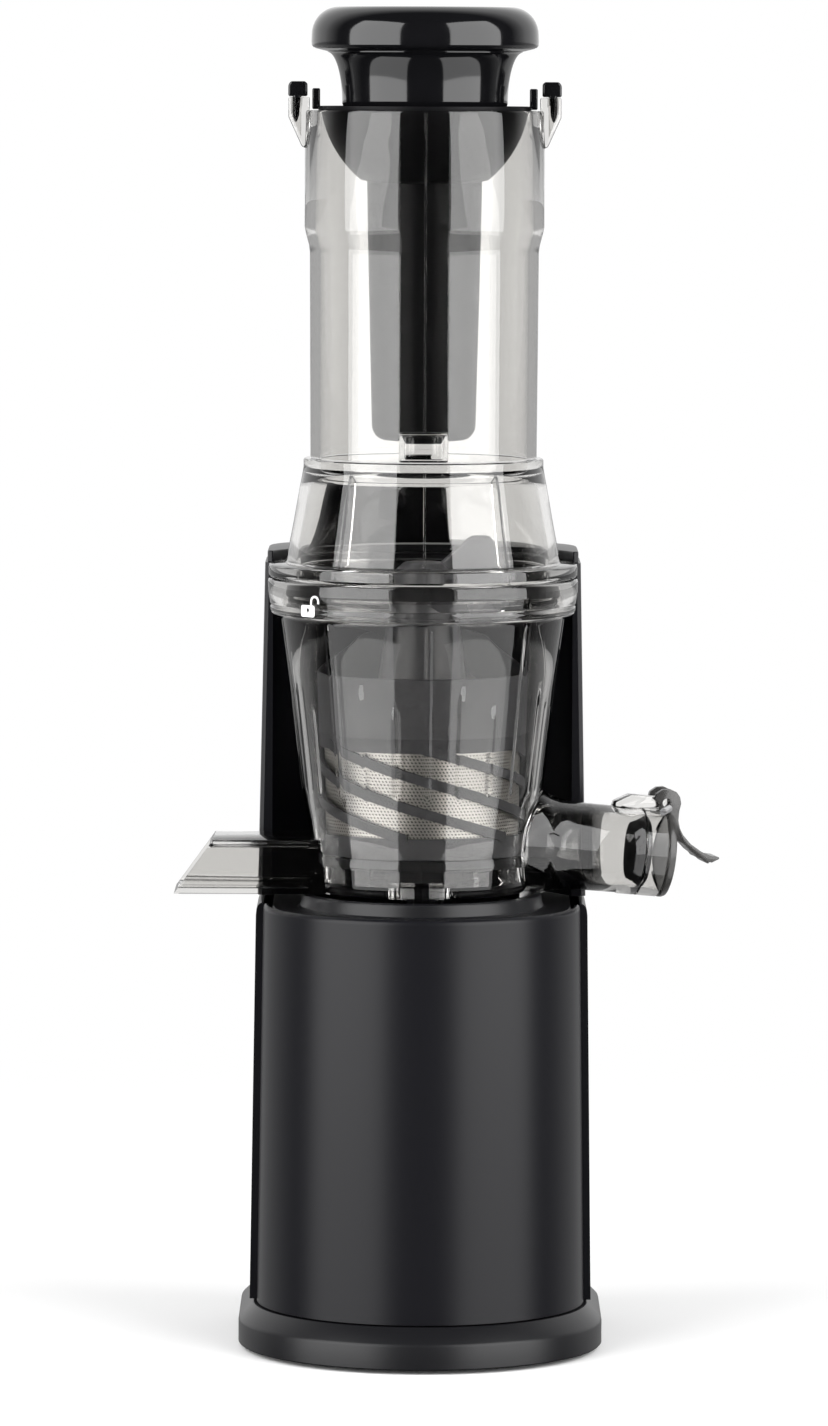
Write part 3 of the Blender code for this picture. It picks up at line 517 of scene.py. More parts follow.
def helixBand(name, section, turn, drop, steps, start=0.0):
    # a four-cornered section swept round the axis and along it
    clearSelection()
    bpy.ops.mesh.primitive_plane_add(size=0.01)
    piece = nameNew(name)
    for vert, (r, z) in zip(piece.data.vertices, section):
        vert.co = (axisX + r * math.sin(start), axisY - r * math.cos(start), z)
    bpy.ops.object.mode_set(mode="EDIT")
    bpy.ops.mesh.select_all(action="SELECT")
    for _ in range(steps):
        bpy.ops.mesh.extrude_region_move(TRANSFORM_OT_translate={"value": (0, 0, drop / steps)})
        bpy.ops.transform.rotate(value=-turn / steps, orient_axis="Z", center_override=(axisX, axisY, 0))
    return closeEdit(piece)


def copyPiece(piece, name, turn=0.0):
    makeActive(piece)
    bpy.ops.object.duplicate()
    new = nameNew(name)
    if turn:
        turnRound(new, turn)
    return new


def mergePieces(first, *others):
    clearSelection()
    for other in others:
        other.select_set(True)
    first.select_set(True)
    bpy.context.view_layer.objects.active = first
    bpy.ops.object.join()
    return first


def sliceAway(piece, point, normal):
    # cuts with a plane, drops the side the normal points to and closes the cut
    editPiece(piece)
    bpy.ops.mesh.select_all(action="SELECT")
    bpy.ops.mesh.bisect(plane_co=point, plane_no=normal, use_fill=True, clear_outer=True)
    return closeEdit(piece)


def makePusher():
    size = {"flat": 0.0290, "rim": 0.0379, "neckTop": 0.0326, "neck": 0.0277, "stemTop": 0.0193,
            "stemFoot": 0.0174, "lip": 0.0011}
    foot, top = heightsOf("pusher_knob")
    rim = top - 0.0128
    rings = [(0.0015, top), (0.012, top), (size["flat"], top - 0.0001)]
    rings += curveRings((size["flat"], top - 0.0001), (size["rim"], rim + 0.0035), "out", 10)[1:]
    rings += [(size["rim"] + 0.0001, rim + 0.0012), (size["rim"], rim), (size["rim"] - 0.0006, rim - 0.0008),
              (size["rim"] - 0.0011, rim - 0.0009), (size["rim"] - 0.0013, rim - size["lip"]),
              (size["neckTop"], rim - size["lip"] - 0.0010)]
    rings += curveRings((size["neckTop"], rim - 0.0024), (size["neck"], foot + 0.0010), "out", 20)
    rings += [(size["neck"] - 0.0004, foot)]
    knob = ringStack("pusherKnob", rings, segments=192)
    finishPiece(knob, "pusher", glossBlack, "trim_black", "pusher_knob", angle=28)

    low, high = heightsOf("pusher_stem")
    rings = [(size["neck"] - 0.0003, high), (size["neck"] - 0.0006, high - 0.003), (0.0262, high - 0.0060),
             (0.0246, high - 0.0100), (0.0224, high - 0.0150), (0.0205, high - 0.0195),
             (0.0196, high - 0.0225), (size["stemTop"], high - 0.0262)]
    rings += [(size["stemTop"] - 0.0002, high - 0.035), (size["stemFoot"], low + 0.0052)]
    rings += curveRings((size["stemFoot"], low + 0.0052), (0.0125, low), "in", 8)[1:]
    rings += [(0.0118, low), (0.0110, low + 0.0006)]
    stem = ringStack("pusherStem", rings, segments=160)
    finishPiece(stem, "pusher", mattBlack, "trim_black", "pusher_stem", angle=28)


makePusher()
print("pusher done")


def makeChute():
    size = {"lug": 0.0081, "lugTop": 0.3110, "pocket": 0.0064, "ear": 0.0055, "seam": 0.35,
            "gateReach": 0.0357, "gateWall": 0.0012, "gateCentre": 0.4200, "tab": 0.0363}
    low = heightsOf("feed_chute")[0]
    rim, taperTop, taperFoot = 0.4167, 0.3779, 0.3695
    outer = [(0.0379, low), (0.0383, taperFoot)]
    outer += [(0.0386, taperFoot + 0.0022), (0.0397, taperTop - 0.0020), (0.0401, taperTop),
              (0.0401, rim - 0.0007), (0.0397, rim)]
    inner = [(0.0371, rim), (0.0367, rim - 0.0006), (0.0367, taperTop - 0.0009), (0.0362, taperTop - 0.0028),
             (0.0353, taperFoot + 0.0012), (0.0350, taperFoot - 0.0005), (0.0348, low)]
    chute = wallStack("feedChute", outer + inner, segments=360)
    editPiece(chute)
    pickFaces(chute, lambda p, n: abs(frontAngle(p) - 0.5) < size["seam"] and n.y < -0.5
              and axisReach(p) > 0.0372 and p.z < 0.4150)
    raisePicked(0.0001, 0.0001)
    bpy.ops.object.mode_set(mode="OBJECT")

    lug = boxPiece("chuteLug", (axisX - size["lug"], axisY - 0.0405, low),
                   (axisX + size["lug"], axisY - 0.0355, size["lugTop"]))
    roundEdges(lug, 0.0009, 3)
    combine(chute, lug, "UNION")
    slot = boxPiece("lugSlot", (axisX - size["pocket"], axisY - 0.0430, low + 0.0010),
                    (axisX + size["pocket"], axisY - 0.0392, size["lugTop"] - 0.0014))
    roundEdges(slot, 0.0005, 2)
    combine(chute, slot)
    for side in (-1, 1):
        wedge = [(0.0385, 0.4037), (0.0410, 0.4045), (0.0455, 0.4144), (0.0455, 0.4211), (0.0385, 0.4211)]
        ear = platePiece("ear", [(axisX + side * x, z) for x, z in wedge], axisY - size["ear"],
                         axisY + size["ear"])
        roundEdges(ear, 0.0006, 2)
        hollow = [(0.0412, 0.4078), (0.0441, 0.4146), (0.0441, 0.4230), (0.0412, 0.4230)]
        room = platePiece("earRoom", [(axisX + side * x, z) for x, z in hollow], axisY - 0.0040,
                          axisY + 0.0040)
        combine(chute, ear, "UNION")
        combine(chute, room)
    finishPiece(chute, "lid", clearSmoke, "clear_smoke", "feed_chute", angle=30)

    gateFoot = heightsOf("feed_gate")[0]
    reach, middle = size["gateReach"], size["gateCentre"]
    heights = [gateFoot + 0.0001 + (0.4180 - gateFoot) * i / 22 for i in range(23)]
    outer = [(math.sqrt(reach ** 2 - (middle - z) ** 2), z) for z in heights]
    inner = [(math.sqrt((reach - size["gateWall"]) ** 2 - (middle - z) ** 2), z) for z in heights[::-1]]
    gate = wallStack("feedGate", outer + inner, segments=160)
    finishPiece(gate, "lid", mattBlack, "trim_black", "feed_gate", angle=40)
    for side in (-1, 1):
        x = axisX + side * size["tab"]
        tab = boxPiece("gateTab", (x - 0.0013, axisY - 0.0034, 0.4170), (x + 0.0013, axisY + 0.0034, 0.4240))
        roundEdges(tab, 0.0005, 3)
        tab.name = tab.data.name = f"gateTab{'Right' if side > 0 else 'Left'}"
        finishPiece(tab, "lid", glossBlack, "trim_black")

    for side, word in ((-1, "left"), (1, "right")):
        outline = [(0.0392, 0.4213), (0.0416, 0.4213), (0.0419, 0.4150), (0.0428, 0.4125), (0.0438, 0.4150),
                   (0.0438, 0.4213), (0.0456, 0.4213), (0.0456, 0.4252), (0.0447, 0.4263), (0.0402, 0.4263),
                   (0.0392, 0.4256)]
        latch = platePiece("gateLatch" + word.title(), [(axisX + side * x, z) for x, z in outline],
                           axisY - 0.0054, axisY + 0.0054)
        roundEdges(latch, 0.0006, 3)
        finishPiece(latch, "lid", glossBlack, "trim_black", f"gate_latch_{word}")


makeChute()
print("chute done")


def makeLid():
    size = {"rib": 0.0011, "ribAngle": 39, "seam": 0.35}
    foot, top = heightsOf("drum_lid")
    outer = [(0.0398, top), (0.0402, top - 0.0004), (0.0402, 0.2976), (0.0407, 0.2945), (0.0414, 0.2910),
             (0.0435, 0.2790), (0.0460, 0.2660), (0.0465, 0.2655), (0.0510, 0.2652), (0.0516, 0.2649),
             (0.0518, 0.2643), (0.0518, 0.2616), (0.0515, 0.2611), (0.0508, 0.2606), (0.0452, 0.2606),
             (0.0450, 0.2604), (0.0448, 0.2580), (0.0446, foot)]
    inner = [(0.0428, foot), (0.0428, 0.2580), (0.0430, 0.2660), (0.0405, 0.2790), (0.0384, 0.2910),
             (0.0372, 0.2950), (0.0350, 0.2972), (0.0348, 0.2980), (0.0348, top)]
    lid = wallStack("drumLid", ringsAlong(outer, 0.006) + ringsAlong(inner, 0.006), segments=360)
    editPiece(lid)
    pickFaces(lid, lambda p, n: abs(frontAngle(p) - 0.5) < size["seam"] and n.y < -0.3
              and 0.2665 < p.z < top - 0.001)
    raisePicked(0.0001, 0.0001)
    bpy.ops.object.mode_set(mode="OBJECT")
    # two fins and a funnel edge stand inside the cone and guide the fruit on to the auger
    for side in (-1, 1):
        outline = [(0.0425, 0.2640), (0.0441, 0.2650), (0.0420, 0.2790), (0.0396, 0.2915), (0.0368, 0.2960),
                   (0.0352, 0.2945), (0.0356, 0.2900), (0.0372, 0.2780), (0.0392, 0.2660)]
        fin = platePiece("lidFin", [(axisX + r, z) for r, z in outline], axisY - size["rib"] / 2,
                         axisY + size["rib"] / 2)
        turnRound(fin, math.radians(-90 + side * size["ribAngle"]))
        combine(lid, fin, "UNION")
    finishPiece(lid, "lid", clearSmoke, "clear_smoke", "drum_lid", angle=30)


makeLid()
print("lid done")


def makeFunnel():
    # dark guide wall inside the lid, round its left and back, that leads the fruit to the auger
    size = {"start": 187, "end": 76}
    outer = [(0.0302, 0.2955), (0.0366, 0.2955), (0.0367, 0.2953), (0.0367, 0.2945), (0.0366, 0.2943),
             (0.0323, 0.2943), (0.0328, 0.2905), (0.0350, 0.2800), (0.0364, 0.2752), (0.0385, 0.2700)]
    inner = [(0.0379, 0.2697), (0.0371, 0.2700), (0.0350, 0.2752), (0.0336, 0.2800), (0.0314, 0.2905)]
    funnel = wallStack("feedFunnel", outer + inner, segments=240)
    for angle, turn in ((size["start"], -90), (size["end"], 90)):
        into = math.radians(angle + turn)
        sliceAway(funnel, (axisX, axisY, 0), (-math.cos(into), -math.sin(into), 0))
    finishPiece(funnel, "lid", glossBlack, "trim_black", "feed_funnel")


makeFunnel()
print("funnel done")


def makeDrum():
    size = {"ribSpan": 15, "ribShift": 2.5, "ribHalf": 1.6, "ribHeight": 0.0003, "ribFoot": 0.1890}
    top, foot = drumHigh.z, drumLow.z
    collar = [(0.0512, top), (0.0518, top - 0.0003), (0.05205, top - 0.0010), (0.0519, 0.2560),
              (0.0514, 0.2521), (0.0510, 0.2518), (0.0510, 0.2512), (0.0513, 0.2509), (0.0512, 0.2497),
              (0.0508, 0.2493), (0.0509, 0.2489), (0.0505, 0.2484), (0.0480, 0.2482), (0.0475, 0.2479),
              (0.0473, 0.2469)]
    side = [(0.0473, 0.2469), (0.0448, 0.2290), (0.0442, 0.2245), (0.0435, 0.2180), (0.0428, 0.2120),
            (0.0405, 0.1910), (0.0402, 0.1890), (0.0382, 0.1776), (0.0369, 0.1694), (0.0363, 0.1686),
            (0.0363, 0.1676), (0.0366, 0.1670), (0.0354, foot + 0.0005), (0.0350, foot)]
    inner = [(0.0085, foot), (0.0085, 0.1650), (0.0115, 0.1650), (0.0115, 0.1590), (0.0325, 0.1590),
             (0.0325, 0.1640), (0.0350, 0.1642), (0.0352, 0.1776), (0.0375, 0.1910), (0.0418, 0.2290),
             (0.0440, 0.2462), (0.0472, 0.2500), (0.0472, top)]
    drum = wallStack("juicingDrum", collar + ringsAlong(side, 0.0032)[1:] + inner, segments=360)

    def onRib(point, normal):
        angle = frontAngle(point) - size["ribShift"]
        number = round(angle / size["ribSpan"])
        off = abs(angle - number * size["ribSpan"])
        head = (0.2455, 0.2255, 0.2170)[number % 3]
        narrow = 1.1 if point.z > head - 0.0030 or point.z < size["ribFoot"] + 0.0030 else size["ribHalf"]
        outward = (point.x - axisX) * normal.x + (point.y - axisY) * normal.y
        return (off < narrow and size["ribFoot"] < point.z < head and outward > 0.02
                and axisReach(point) > 0.039)

    editPiece(drum)
    pickFaces(drum, onRib)
    raisePicked(0.0007, size["ribHeight"])
    pickFaces(drum, lambda p, n: 30 < frontAngle(p) < 43 and 0.2521 < p.z < 0.2562 and axisReach(p) > 0.0505)
    raisePicked(0.0003, -0.0004)
    bpy.ops.object.mode_set(mode="OBJECT")

    # the juice tube leaves through a trumpet-shaped root
    tubeEnd = 0.0745
    root = [(0.0010, 0.0300), (0.0196, 0.0300), (0.0190, 0.0385), (0.0172, 0.0415), (0.0158, 0.0450),
            (0.0150, 0.0500), (0.0147, 0.0560), (0.0146, 0.0680), (0.0149, 0.0686),
            (0.0149, tubeEnd - 0.0006), (0.0145, tubeEnd), (0.0010, tubeEnd)]
    tube = ringStack("tubeBody", root, segments=128, centre=(0, 0))
    lieDown(tube)
    # lug on the tube's top carries the stopper's hinge
    pinX, pinZ = 0.0818, 0.0174
    hook = [(0.0640, 0.0120), (0.0725, 0.0125), (0.0742, 0.0150), (0.0790, 0.0153)]
    hook += [(pinX + 0.0021 * math.sin(math.pi * i / 10), pinZ - 0.0021 * math.cos(math.pi * i / 10))
             for i in range(11)]
    hook += [(0.0765, 0.0190), (0.0700, 0.0190), (0.0650, 0.0163)]
    lug = platePiece("tubeLug", hook, -0.0033, 0.0033)
    roundEdges(lug, 0.0004, 2)
    combine(tube, lug, "UNION")
    toOutlet(tube)
    inside = [(0.0010, 0.1480), (0.0330, 0.1480), (0.0330, 0.1641), (0.0354, 0.1644), (0.0356, 0.1776),
              (0.0379, 0.1910), (0.0404, 0.2140), (0.0010, 0.2140)]
    core = ringStack("drumCore", inside, segments=180)
    combine(tube, core)
    combine(drum, tube, "UNION")
    bore = ringStack("tubeBore", [(0.0005, 0.0280), (0.0100, 0.0280), (0.0101, 0.0400), (0.0120, 0.0450),
                                  (0.0121, 0.0640), (0.0123, 0.0645), (0.0123, 0.0800), (0.0005, 0.0800)],
                     segments=96, centre=(0, 0))
    toOutlet(lieDown(bore))
    combine(drum, bore)

    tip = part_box("pulp_spout")[0].x
    outline = [(axisX - 0.0300, 0.1729), (axisX - 0.0700, 0.1729), (tip + 0.0001, 0.1549),
               (axisX - 0.0300, 0.1549)]
    spout = platePiece("spout", outline, axisY - 0.0150, axisY + 0.0150)
    lip = boxPiece("spoutLip", (axisX - 0.0702, axisY - 0.0158, 0.1715),
                   (axisX - 0.0300, axisY + 0.0158, 0.1731))
    roundEdges(lip, 0.0004, 2)
    combine(spout, lip, "UNION")
    core = ringStack("drumCore", inside, segments=180)
    combine(spout, core)
    combine(drum, spout, "UNION")
    channel = boxPiece("channel", (tip - 0.0100, axisY - 0.0134, 0.1566),
                       (axisX - 0.0300, axisY + 0.0134, 0.1711))
    roundEdges(channel, 0.0010, 3)
    keep = boxPiece("channelStop", (axisX - 0.0380, axisY - 0.0300, 0.1500), (axisX, axisY + 0.0300, 0.1800))
    combine(channel, keep)
    hole = boxPiece("pulpHole", (axisX - 0.0450, axisY - 0.0115, 0.1600),
                    (axisX - 0.0250, axisY + 0.0115, 0.1700))
    combine(drum, channel)
    combine(drum, hole)
    finishPiece(drum, "drum", clearSmoke, "clear_smoke", "juicing_drum", "juice_outlet_tube", "pulp_spout",
                angle=50)


makeDrum()
print("drum done")


def makePadlock():
    # open padlock sign, printed on the collar
    size = {"angle": -46.5, "reach": 0.05195, "half": 0.0032, "foot": 0.2494, "top": 0.2533, "ink": 0.00012,
            "keyhole": 0.0007, "barIn": 0.0014, "barOut": 0.0021, "barMiddle": 0.0033}
    body = boxPiece("lockBody", (-size["half"], -size["ink"], size["foot"]), (size["half"], 0, size["top"]))
    editPiece(body)
    bm = bmesh.from_edit_mesh(body.data)
    bpy.ops.mesh.select_mode(type="EDGE")
    for edge in bm.edges:
        edge.select_set(abs(edge.verts[0].co.y - edge.verts[1].co.y) > 1e-5)
    bmesh.update_edit_mesh(body.data)
    bpy.ops.mesh.bevel(offset=0.0008, segments=5)
    bpy.ops.object.mode_set(mode="OBJECT")
    hole = rodPiece("lockHole", size["keyhole"], (0, -0.001, 0.2517), (0, 0.001, 0.2517), 20)
    combine(body, hole)
    slit = boxPiece("lockSlit", (-0.00025, -0.001, 0.2504), (0.00025, 0.001, 0.2516))
    combine(body, slit)
    middle, inner, outer, high = size["barMiddle"], size["barIn"], size["barOut"], 0.2545
    arc = [math.pi * i / 14 for i in range(15)]
    outline = [(middle - outer, size["top"] - 0.0002), (middle - inner, size["top"] - 0.0002)]
    outline += [(middle - inner * math.cos(a), high + inner * math.sin(a)) for a in arc]
    outline += [(middle + inner, high - 0.0006), (middle + outer, high - 0.0006)]
    outline += [(middle + outer * math.cos(a), high + outer * math.sin(a)) for a in arc]
    shackle = platePiece("lockShackle", outline, -size["ink"], 0)
    sign = mergePieces(body, shackle)
    sign.name = sign.data.name = "padlockSign"
    turnRound(sign, math.radians(size["angle"]), (-0.0006, -size["reach"], 0))
    finishPiece(sign, "drum", whiteInk, "gear_white")


makePadlock()
print("padlock sign done")


def makeStrainer():
    size = {"topIn": 0.0345, "bandIn": 0.0337, "bandOut": 0.0350, "bandHigh": 0.0032, "bandTurn": 172,
            "columns": 168, "pitch": 0.00108, "hole": 0.00027}
    ringTop, ringFoot = 0.2290, 0.2040
    upper = [(0.0355, ringTop - 0.0003), (0.0352, ringTop), (0.0347, ringTop),
             (size["topIn"], ringTop - 0.0004), (0.0336, ringFoot), (0.0346, ringFoot), (0.0348, 0.2082),
             (0.0351, 0.2086), (0.0351, 0.2093), (0.0349, 0.2097), (0.0355, ringTop - 0.0012)]
    frameTop = wallStack("strainerFrame", upper, segments=144)
    lower = [(0.0338, 0.1756), (0.0340, 0.1750), (0.0338, 0.1686), (0.0334, 0.1682), (0.0324, 0.1682),
             (0.0326, 0.1756)]
    foot = wallStack("strainerFoot", lower, segments=144)
    bandFoot, bandTop, bandOut = ringFoot - 0.0002, ringFoot + size["bandHigh"], size["bandOut"] - 0.0001
    section = [(size["bandIn"], bandFoot), (bandOut, bandFoot), (size["bandIn"], bandTop), (bandOut, bandTop)]
    first = helixBand("bandStart", section, math.radians(size["bandTurn"]), -0.0303, 60)
    # the bands follow the strainer's slight taper
    for vert in first.data.vertices:
        squeeze = 1 - (ringFoot - vert.co.z) * 0.55
        vert.co.x = axisX + (vert.co.x - axisX) * squeeze
        vert.co.y = axisY + (vert.co.y - axisY) * squeeze
    bands = [first] + [copyPiece(first, f"band{i}", math.radians(60 * i)) for i in range(1, 6)]
    frame = mergePieces(frameTop, foot, *bands)
    finishPiece(frame, "drum", strainerNylon, "strainer_black", "strainer_frame", angle=35)

    # every ring is turned half a hole on, so that the rows of holes stagger
    low, rows = 0.1700, 32

    def radiusAt(z):
        return 0.0320 + (z - 0.1690) * 0.0018 / 0.0590

    clearSelection()
    bpy.ops.mesh.primitive_circle_add(vertices=size["columns"], radius=radiusAt(low),
                                      location=(axisX, axisY, low))
    mesh = nameNew("strainerMesh")
    bpy.ops.object.mode_set(mode="EDIT")
    bpy.ops.mesh.select_mode(type="VERT")
    bpy.ops.mesh.select_all(action="SELECT")
    for row in range(1, rows + 1):
        z = low + row * size["pitch"]
        bpy.ops.mesh.extrude_region_move(TRANSFORM_OT_translate={"value": (0, 0, size["pitch"])})
        grow = radiusAt(z) / radiusAt(z - size["pitch"])
        bpy.ops.transform.resize(value=(grow, grow, 1), center_override=(axisX, axisY, z))
        bpy.ops.transform.rotate(value=math.pi / size["columns"], orient_axis="Z",
                                 center_override=(axisX, axisY, z))
    bpy.ops.mesh.select_all(action="SELECT")
    bpy.ops.mesh.normals_make_consistent(inside=False)
    bpy.ops.mesh.select_mode(type="FACE")
    pickFaces(mesh, lambda p, n: 0.1745 < p.z < 0.2042)
    bpy.ops.mesh.inset(thickness=size["hole"], use_individual=True)
    bpy.ops.mesh.delete(type="FACE")
    bpy.ops.object.mode_set(mode="OBJECT")
    applyModifier(mesh, "SOLIDIFY", thickness=0.0004, offset=-1)
    finishPiece(mesh, "drum", perforatedSteel, "strainer_steel", "strainer_mesh", angle=40)


makeStrainer()
print("strainer done")


def makeAuger():
    low = heightsOf("auger")[0]
    size = {"turns": 1.9, "steps": 150, "flightFoot": 0.1745, "flightTop": 0.2560, "root": 0.0095,
            "reach": 0.0307, "lip": 0.0036, "vaneHalf": 0.0023}
    outer = [(0.0060, 0.2640), (0.0070, 0.2632), (0.0088, 0.2610), (0.0110, 0.2560), (0.0130, 0.2350),
             (0.0185, 0.2100), (0.0250, 0.1860), (0.0285, 0.1760), (0.0285, low)]
    core = ringStack("augerCore", [(0.0079, 0.1920), (0.0079, low)] + ringsAlong(outer[::-1], 0.003),
                     segments=96)
    turn = math.radians(360 * size["turns"])
    rise = size["flightTop"] - size["flightFoot"]
    section = [(size["root"], size["flightFoot"]), (size["reach"], size["flightFoot"] + 0.0012),
               (size["root"], size["flightFoot"] + 0.0052), (size["reach"], size["flightFoot"] + size["lip"])]
    flight = helixBand("augerFlight", section, turn, rise, size["steps"], math.radians(110))
    blade = [(0.0030, 0.2480), (0.0270, 0.2470), (0.0290, 0.2500), (0.0286, 0.2600), (0.0262, 0.2700),
             (0.0220, 0.2745), (0.0160, 0.2745), (0.0110, 0.2700), (0.0060, 0.2640)]
    vane = platePiece("augerVane", [(axisX + x, z) for x, z in blade], axisY - size["vaneHalf"],
                      axisY + size["vaneHalf"])
    roundEdges(vane, 0.0012, 3)
    auger = mergePieces(core, flight, vane)
    auger.name = auger.data.name = "augerBody"
    finishPiece(auger, "auger", augerPlastic, "auger_grey", "auger", angle=40)


makeAuger()
print("auger done")


def makeStopper():
    size = {"radius": 0.0149, "back": 0.0824, "front": 0.0852, "lever": 0.0062, "leverGap": 0.0038,
            "pinX": 0.0818, "pinZ": 0.0174}
    rings = [(0.0010, size["front"]), (size["radius"] - 0.0016, size["front"]),
             (size["radius"] - 0.0004, size["front"] - 0.0005), (size["radius"], size["front"] - 0.0014),
             (size["radius"], size["back"] + 0.0004), (size["radius"] - 0.0004, size["back"]),
             (0.0010, size["back"])]
    disc = ringStack("stopperDisc", rings[::-1], segments=96, centre=(0, 0))
    lieDown(disc)
    # the lever starts as a clip over the hinge pin and curves down to a finger tip
    upper = [(0.0776, 0.0180), (0.0780, 0.0202), (0.0800, 0.0218), (0.0824, 0.0222), (0.0848, 0.0214),
             (0.0862, 0.0198), (0.0868, 0.0176), (0.0864, 0.0150), (0.0864, 0.0119), (0.0872, 0.0092),
             (0.0886, 0.0070), (0.0915, 0.0042), (0.0955, 0.0019), (0.0990, 0.0007), (0.1018, 0.0006)]
    lower = [(0.1019, 0.0000), (0.0994, -0.0015), (0.0986, -0.0013), (0.0982, -0.0020), (0.0972, -0.0015),
             (0.0957, -0.0003), (0.0945, -0.0003), (0.0937, 0.0006), (0.0918, 0.0018), (0.0893, 0.0040),
             (0.0877, 0.0046), (0.0850, 0.0060), (0.0830, 0.0080), (0.0830, 0.0140), (0.0796, 0.0150),
             (0.0796, 0.0170)]
    lever = platePiece("stopperLever", upper + lower, -size["lever"], size["lever"])
    roundEdges(lever, 0.0005, 2, 40)
    notch = platePiece("notch", [(0.0700, 0.0146), (0.0836, 0.0146), (0.0844, 0.0240), (0.0700, 0.0240)],
                       -size["leverGap"], size["leverGap"])
    combine(lever, notch)
    pinHole = rodPiece("pinHole", 0.0015, (size["pinX"], -0.0100, size["pinZ"]),
                       (size["pinX"], 0.0100, size["pinZ"]), 24)
    combine(lever, pinHole)
    combine(disc, lever, "UNION")
    disc.name = disc.data.name = "juiceStopper"
    toOutlet(disc)
    finishPiece(disc, "cap", darkSmoke, "cap_smoke", "juice_cap", angle=32)

    rings = [(0.0149, 0.0749), (0.0149, 0.0818), (0.0145, 0.0823), (0.0128, 0.0823), (0.0122, 0.0790),
             (0.0122, 0.0752), (0.0126, 0.0749)]
    collar = wallStack("stopperCollar", rings, segments=96, centre=(0, 0))
    toOutlet(lieDown(collar))
    finishPiece(collar, "cap", clearSmoke, "clear_smoke", angle=32)

    plug = [(0.0010, 0.0724), (0.0080, 0.0725), (0.0106, 0.0731), (0.0118, 0.0740), (0.0121, 0.0751),
            (0.0118, 0.0762), (0.0106, 0.0771), (0.0080, 0.0777), (0.0010, 0.0778)]
    seal = ringStack("stopperSeal", plug, segments=96, centre=(0, 0))
    toOutlet(lieDown(seal))
    finishPiece(seal, "cap", blackSilicone, "silicone_black", "cap_seal", angle=32)


makeStopper()
print("stopper done")


def makeBase():
    size = {"backStart": 0.040, "vents": 7, "ventHalf": 0.0220, "ventFoot": 0.1080, "ventTall": 0.0020,
            "ventStep": 0.0048, "cutHalf": 0.0110, "cutFoot": 0.0580, "cutTop": 0.0820, "inlet": 0.0300,
            "inletRadius": 0.0070, "deck": 0.1494}
    foot, rim = heightsOf("front_shell")
    outer = [(0.0552, foot), (0.0534, rim - 0.0018), (0.05335, rim - 0.0010), (0.0530, rim - 0.0004),
             (0.0524, rim), (0.0514, rim - 0.0003), (0.0511, rim - 0.0012), (0.0509, rim - 0.0022)]
    inner = [(0.0527, foot)]
    shell = wallStack("frontShell", outer + inner, segments=360)
    sliceAway(shell, (0, axisY, 0), (0, 1, 0))
    finishPiece(shell, "base", satinShell, "housing_black", "front_shell", angle=30)

    low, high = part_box("rear_housing")
    foot, rim = low.z, high.z
    outer = [(0.0577, foot), (0.0559, rim - 0.0040), (0.0557, rim - 0.0022), (0.0553, rim - 0.0010),
             (0.0546, rim - 0.0002), (0.0540, rim), (0.0534, rim - 0.0005), (0.0532, rim - 0.0020)]
    outline = squareBack(high.y - axisY - 0.0008, size["backStart"])
    rear = wallStack("rearHousing", outer + [(0.0550, foot)], segments=360, outline=outline)
    sliceAway(rear, (0, axisY + 0.0011, 0), (0, -1, 0))
    inside, outside = axisY + 0.070, axisY + 0.092
    cutout = boxPiece("switchCutout", (axisX - size["cutHalf"], inside, size["cutFoot"]),
                      (axisX + size["cutHalf"], outside, size["cutTop"]))
    combine(rear, cutout)
    hole = rodPiece("inletHole", size["inletRadius"], (axisX, inside, size["inlet"]),
                    (axisX, outside, size["inlet"]))
    combine(rear, hole)
    for row in range(size["vents"]):
        ventFoot = size["ventFoot"] + size["ventStep"] * row
        vent = boxPiece("vent", (axisX - size["ventHalf"], inside, ventFoot),
                        (axisX + size["ventHalf"], outside, ventFoot + size["ventTall"]))
        roundEdges(vent, 0.0008, 2)
        combine(rear, vent)
    finishPiece(rear, "base", satinShell, "housing_black", "rear_housing", angle=30)

    skirtFoot = heightsOf("base_skirt_front")[0]
    profile = [(0.0610, skirtFoot), (0.0614, skirtFoot + 0.0004), (0.0614, 0.0092), (0.0612, 0.0098),
               (0.0608, 0.0103), (0.0566, 0.0148), (0.0562, 0.0151), (0.0556, 0.0151), (0.0529, 0.0151),
               (0.0586, 0.0089), (0.0588, skirtFoot)]
    front = wallStack("skirtFront", profile, segments=360)
    sliceAway(front, (0, axisY - 0.0001, 0), (0, 1, 0))
    finishPiece(front, "base", deckBlack, "housing_black", "base_skirt_front", angle=25)
    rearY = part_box("base_skirt_rear")[1].y - axisY
    back = wallStack("skirtRear", profile, segments=360, outline=squareBack(rearY, 0.046))
    sliceAway(back, (0, axisY + 0.0001, 0), (0, -1, 0))
    finishPiece(back, "base", deckBlack, "housing_black", "base_skirt_rear", angle=25)

    under, floor = heightsOf("top_deck")[0], size["deck"]
    rings = [(0.0113, under), (0.0504, under), (0.0504, floor - 0.0006), (0.0498, floor), (0.0420, floor),
             (0.0410, floor + 0.0006), (0.0406, floor + 0.0016), (0.0404, 0.1530), (0.0400, 0.1538),
             (0.0394, 0.15415), (0.0376, 0.1542), (0.0371, 0.1538), (0.0370, floor + 0.0004), (0.0366, floor),
             (0.0135, floor), (0.0113, floor)]
    deck = wallStack("topDeck", rings, segments=240)
    rearDeck = ringStack("rearDeck", [(0.0503, under + 0.0001), (0.0503, floor - 0.0002)], segments=240,
                         outline=squareBack(0.0762, size["backStart"]))
    hollow = ringStack("deckHollow", [(0.0480, under - 0.002), (0.0480, floor + 0.002)], segments=160)
    combine(rearDeck, hollow)
    combine(deck, rearDeck, "UNION")
    finishPiece(deck, "base", deckBlack, "housing_black", "top_deck", angle=30)


makeBase()
print("base done")


